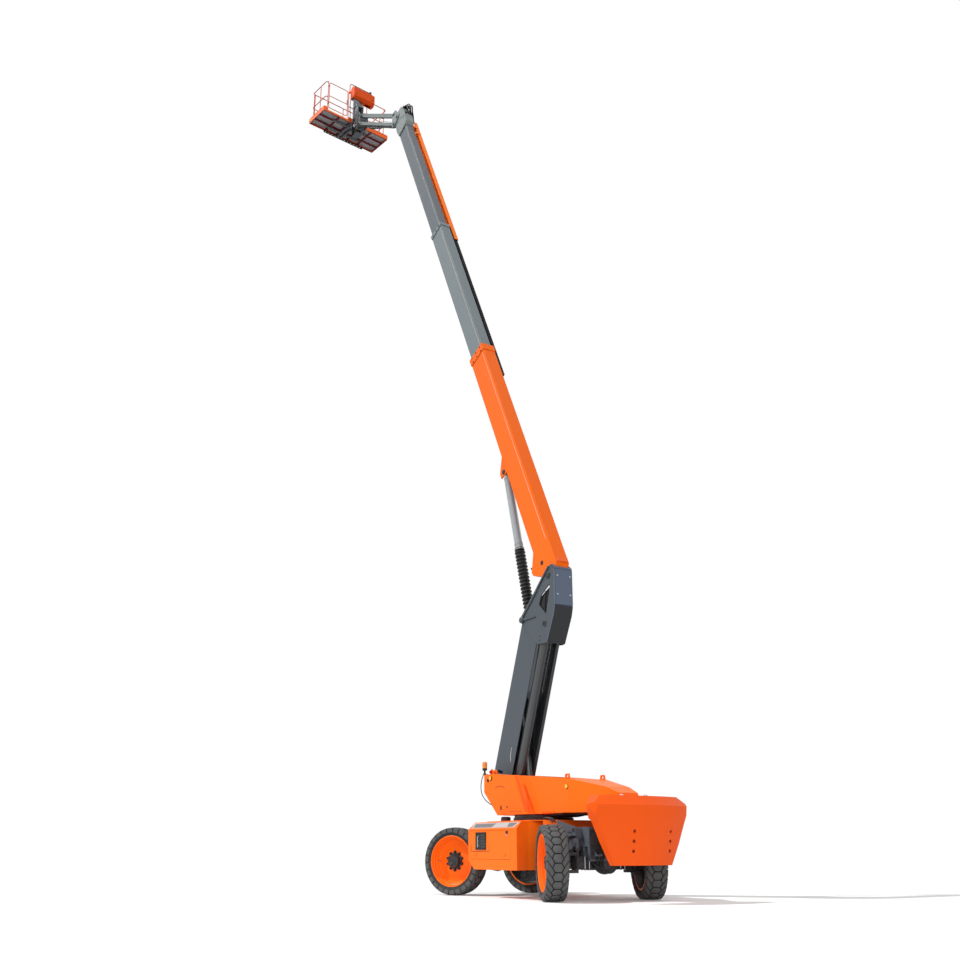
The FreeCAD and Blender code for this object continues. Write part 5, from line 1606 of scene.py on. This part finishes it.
def floor_fittings():
    """Holed sheets in the floor bays, red undersides of the frame, and toe board lips."""
    far, half = NEAR + DEEP, WIDE / 2
    work = Work(FLOOR).use(PANEL_GREY_WITH_PAINTED_LIGHT)
    work.box((NEAR + 0.026, -half + 0.026, 0.0285), (far - 0.026, half - 0.026, 0.0297))
    work.done("floor_sheets", "platform", "panel_grey")
    work = Work(FLOOR).use(DEEP_RED)
    for y in (-0.61, -0.205, 0.205, 0.61):
        work.strip(NEAR + 0.02, far - 0.02, y, 0.021, -0.0275, 0.0288)
    for part in (0.33, 0.66):
        x = NEAR + DEEP * part
        work.box((x - 0.001, -half + 0.02, -0.0272), (x + 0.036, half - 0.02, 0.0286))
    for x in (NEAR + 0.002, far - 0.030):
        work.box((x, -half + 0.004, -0.0315), (x + 0.028, half - 0.004, -0.0285))
    for y in (-half + 0.002, half - 0.030):
        work.box((NEAR + 0.004, y, -0.0315), (far - 0.004, y + 0.028, -0.0285))
    work.done("floor_beams", "platform", "orange_paint", 0.001, 1)
    work = Work(FLOOR).use(ORANGE)
    for x, start, stop in ((NEAR - 0.004, -half, 0.315), (NEAR - 0.004, 1.065, half),
                           (far - 0.021, -half, half)):
        work.box((x, start, 0.126), (x + 0.025, stop, 0.134))
    for y in (-half - 0.004, half - 0.021):
        work.box((NEAR, y, 0.126), (far, y + 0.025, 0.134))
    work.use(LIME)
    work.box((far - 0.12, half + 0.0005, 0.03), (far - 0.02, half + 0.0025, 0.10))
    work.done("toe_board_lips", "platform", "orange_paint", 0.002)


def gate_fittings():
    """Latch and hinge straps of the gate."""
    work = Work(FLOOR).use(RAIL_ORANGE)
    x = NEAR + 0.042
    for z in (0.30, 0.95):
        work.rod((x, 1.053, z), (x, 1.053, z + 0.07), 0.008, 12)
        work.box((x - 0.004, 1.032, z + 0.01), (x + 0.004, 1.052, z + 0.06))
    work.use(DARK_STEEL)
    work.box((x - 0.010, 0.352, 0.60), (x + 0.010, 0.372, 0.74))
    work.rod((x, 0.362, 0.74), (x, 0.372, 0.79), 0.007, 10)
    work.done("gate_fittings", "gate", "rail_orange", 0.001, 1)


def rail_fittings():
    """Post feet, gate sleeves and the clamps of the hand guard."""
    work = Work(FLOOR).use(RAIL_ORANGE)
    near = NEAR + 0.042
    far = NEAR + DEEP - 0.042
    half = WIDE / 2 - 0.072
    top = 1.130
    for x, y in ((far, half - 0.075), (far, 0), (far, 0.075 - half), (near, 0.075 - half),
                 (near, -0.400), (near, 0.305), (near, 1.075), (near + 0.34, half),
                 (far - 0.09, half), (near + 0.34, -half), (far - 0.09, -half)):
        work.lathe([(0, 0.034), (0.010, 0.034), (0.016, 0.022)], (x, y, 0.038), Z, 18)
        work.box((x - 0.020, y - 0.004, 0.038), (x + 0.020, y + 0.004, 0.12))
    for x, y in ((near, 0.305), (near, 1.075)):
        work.lathe([(0, 0.0165), (0.05, 0.0165)], (x, y, top - 0.045), Z, 18)
    work.use(ORANGE)
    for y in (-0.580, 0.275):
        work.box((near - 0.020, y - 0.028, top - 0.030), (near + 0.020, y + 0.028, top + 0.035))
    work.done("rail_fittings", "platform", "rail_orange", 0.0)


def console_fittings():
    """Control panel with joysticks and switches, side plates, back panels and lamp stalk."""
    work = Work(DECK).use(BLACK_PLASTIC)
    work.slab([(0.150, 1.288), (0.166, 1.293), (0.266, 1.273), (0.318, 1.183), (0.312, 1.180),
               (0.262, 1.266), (0.166, 1.285)], -0.60, 0.10)
    tilt = frame_at(Vector((0.215, 0, 1.282)), (0.97, 0, -0.24))
    panel = Work(DECK @ tilt)
    panel.use(BLACK_PLASTIC)
    for y in (-0.49, -0.02):
        panel.lathe([(0, 0.036), (0.012, 0.030), (0.020, 0.020), (0.032, 0.012), (0.07, 0.009),
                     (0.075, 0.018), (0.105, 0.020), (0.118, 0.012)], (0, y, 0), Z, 24)
    panel.use(RED)
    panel.lathe([(0, 0.016), (0.012, 0.016), (0.014, 0.026), (0.028, 0.026), (0.034, 0.018)],
                (0, -0.25, 0), Z, 24)
    panel.use(STEEL)
    for k in range(5):
        y = -0.40 + 0.035 * k
        panel.lathe([(0, 0.007), (0.008, 0.007)], (0.01, y, 0), Z, 12)
        panel.rod((0.01, y, 0.008), (0.004, y + 0.004, 0.03), 0.003, 8)
    panel.use(PANEL_GREY_WITH_PAINTED_LIGHT)
    panel.box((-0.035, -0.19, 0), (0.035, -0.08, 0.004))
    panel.done("console_controls", "platform", "black_plastic", 0.0015)
    work.use(CONSOLE_ORANGE)
    for y in (-0.642, 0.132):
        work.slab([(0.083, 0.93), (0.145, 0.828), (0.300, 0.828), (0.317, 0.88), (0.317, 1.18),
                   (0.267, 1.272), (0.165, 1.293), (0.083, 1.222)], y, y + 0.010)
    for y in (-0.47, -0.25, -0.03):
        work.slab([(0.083, 0.96), (0.0855, 0.96), (0.0855, 1.20), (0.083, 1.20)], y - 0.07,
                  y + 0.07)
    work.use(BLACK_PLASTIC)
    for y in (-0.55, 0.05):
        work.rod((0.079, y, 1.02), (0.086, y, 1.02), 0.022, 18)
    work.box((0.250, -0.56, 1.276), (0.300, -0.46, 1.286))
    work.use(CONSOLE_ORANGE)
    work.box((0.180, -0.30, 1.288), (0.235, -0.20, 1.312))
    work.use(WHITE)
    work.box((0.180, -0.16, 1.288), (0.230, -0.12, 1.305))
    work.use(DARK_STEEL)
    work.box((0.155, -0.16, 0.832 - 0.014), (0.215, 0.16, 0.829))
    work.done("console_fittings", "platform", "console_orange", 0.003)
    stalk = Work(DECK).use(BLACK_PLASTIC)
    x, y = 0.27, -0.585
    stalk.rod((x, y, 1.27), (x, y, 1.330), 0.020, 16)
    stalk.rod((x, y, 1.325), (x, y, 1.430), 0.013, 12)
    guard = [(x + 0.034 * math.cos(0.7 * k), y + 0.034 * math.sin(0.7 * k), 1.450)
             for k in range(10)]
    stalk.tube(guard, 0.011, 8)
    stalk.use(STEEL).rod((x, y, 1.430), (x, y, 1.466), 0.024, 20)
    stalk.done("lamp_stalk", "platform", "black_plastic", 0.001, 1)


head_fittings()
jib_fittings()
upper_arm_fittings()
bracket_fittings()
looped_hoses()
support_fittings()
arm_fittings()
step_bar()
floor_fittings()
gate_fittings()
rail_fittings()
console_fittings()


# ---------------------------------------------------------------- stage and light
def pale_floor():
    """A wide pale floor that takes the machine's shadow and fades into the white far off."""
    data = bpy.data.meshes.new("floor")
    reach = 70.0
    data.from_pydata([(-reach, -reach, 0), (reach, -reach, 0), (reach, reach, 0),
                      (-reach, reach, 0)], [], [(0, 1, 2, 3)])
    ground = bpy.data.objects.new("floor", data)
    bpy.context.collection.objects.link(ground)
    pale, tree, shader = plain_finish("pale_floor")
    shader.inputs["Base Color"].default_value = (0.86, 0.86, 0.86, 1)
    shader.inputs["Roughness"].default_value = 0.9
    shader.inputs["Specular IOR Level"].default_value = 0.1
    path = tree.nodes.new("ShaderNodeLightPath").outputs
    seen = math_node(tree, "MAXIMUM", path["Is Camera Ray"], path["Is Glossy Ray"])
    glow = tree.nodes.new("ShaderNodeEmission")
    glow.inputs["Color"].default_value = (1, 1, 1, 1)
    tree.links.new(times(tree, seen, 0.10), glow.inputs["Strength"])
    near = tree.nodes.new("ShaderNodeAddShader")
    tree.links.new(shader.outputs[0], near.inputs[0])
    tree.links.new(glow.outputs[0], near.inputs[1])
    clear = tree.nodes.new("ShaderNodeEmission")
    tree.links.new(seen, clear.inputs["Strength"])
    far = tree.nodes.new("ShaderNodeVectorMath")
    far.operation = "LENGTH"
    tree.links.new(tree.nodes.new("ShaderNodeTexCoord").outputs["Object"], far.inputs[0])
    ease = tree.nodes.new("ShaderNodeMixShader")
    tree.links.new(ramp(tree, far.outputs["Value"], 6.0, 18.0), ease.inputs[0])
    tree.links.new(near.outputs[0], ease.inputs[1])
    tree.links.new(clear.outputs[0], ease.inputs[2])
    tree.links.new(ease.outputs[0], tree.nodes["Material Output"].inputs["Surface"])
    data.materials.append(pale)


def studio():
    """A white room whose own light on the machine is weak, and three soft suns."""
    world = bpy.data.worlds.new("studio")
    world.use_nodes = True
    tree = world.node_tree
    back = tree.nodes["Background"]
    back.inputs["Color"].default_value = (1, 1, 1, 1)
    path = tree.nodes.new("ShaderNodeLightPath").outputs
    seen = math_node(tree, "MAXIMUM", path["Is Camera Ray"],
                     math_node(tree, "MAXIMUM", path["Is Glossy Ray"],
                               path["Is Transmission Ray"]))
    tree.links.new(math_node(tree, "ADD", 0.30, times(tree, seen, 0.70)),
                   back.inputs["Strength"])
    bpy.context.scene.world = world

    for name, toward, power, soft in (("key", (0.50, 0.86, 1.05), 2.85, 2.0),
                                      ("fill", (-0.84, 0.55, 0.22), 1.2, 50.0),
                                      ("sky", (-0.66, 0.10, 0.74), 0.95, 60.0)):
        sun = bpy.data.lights.new(name, "SUN")
        sun.energy = power
        sun.angle = math.radians(soft)
        lamp = bpy.data.objects.new(name, sun)
        bpy.context.collection.objects.link(lamp)
        lamp.rotation_euler = (-Vector(toward)).to_track_quat("-Z", "Y").to_euler()
    bpy.context.scene.view_settings.view_transform = "Standard"


pale_floor()
studio()
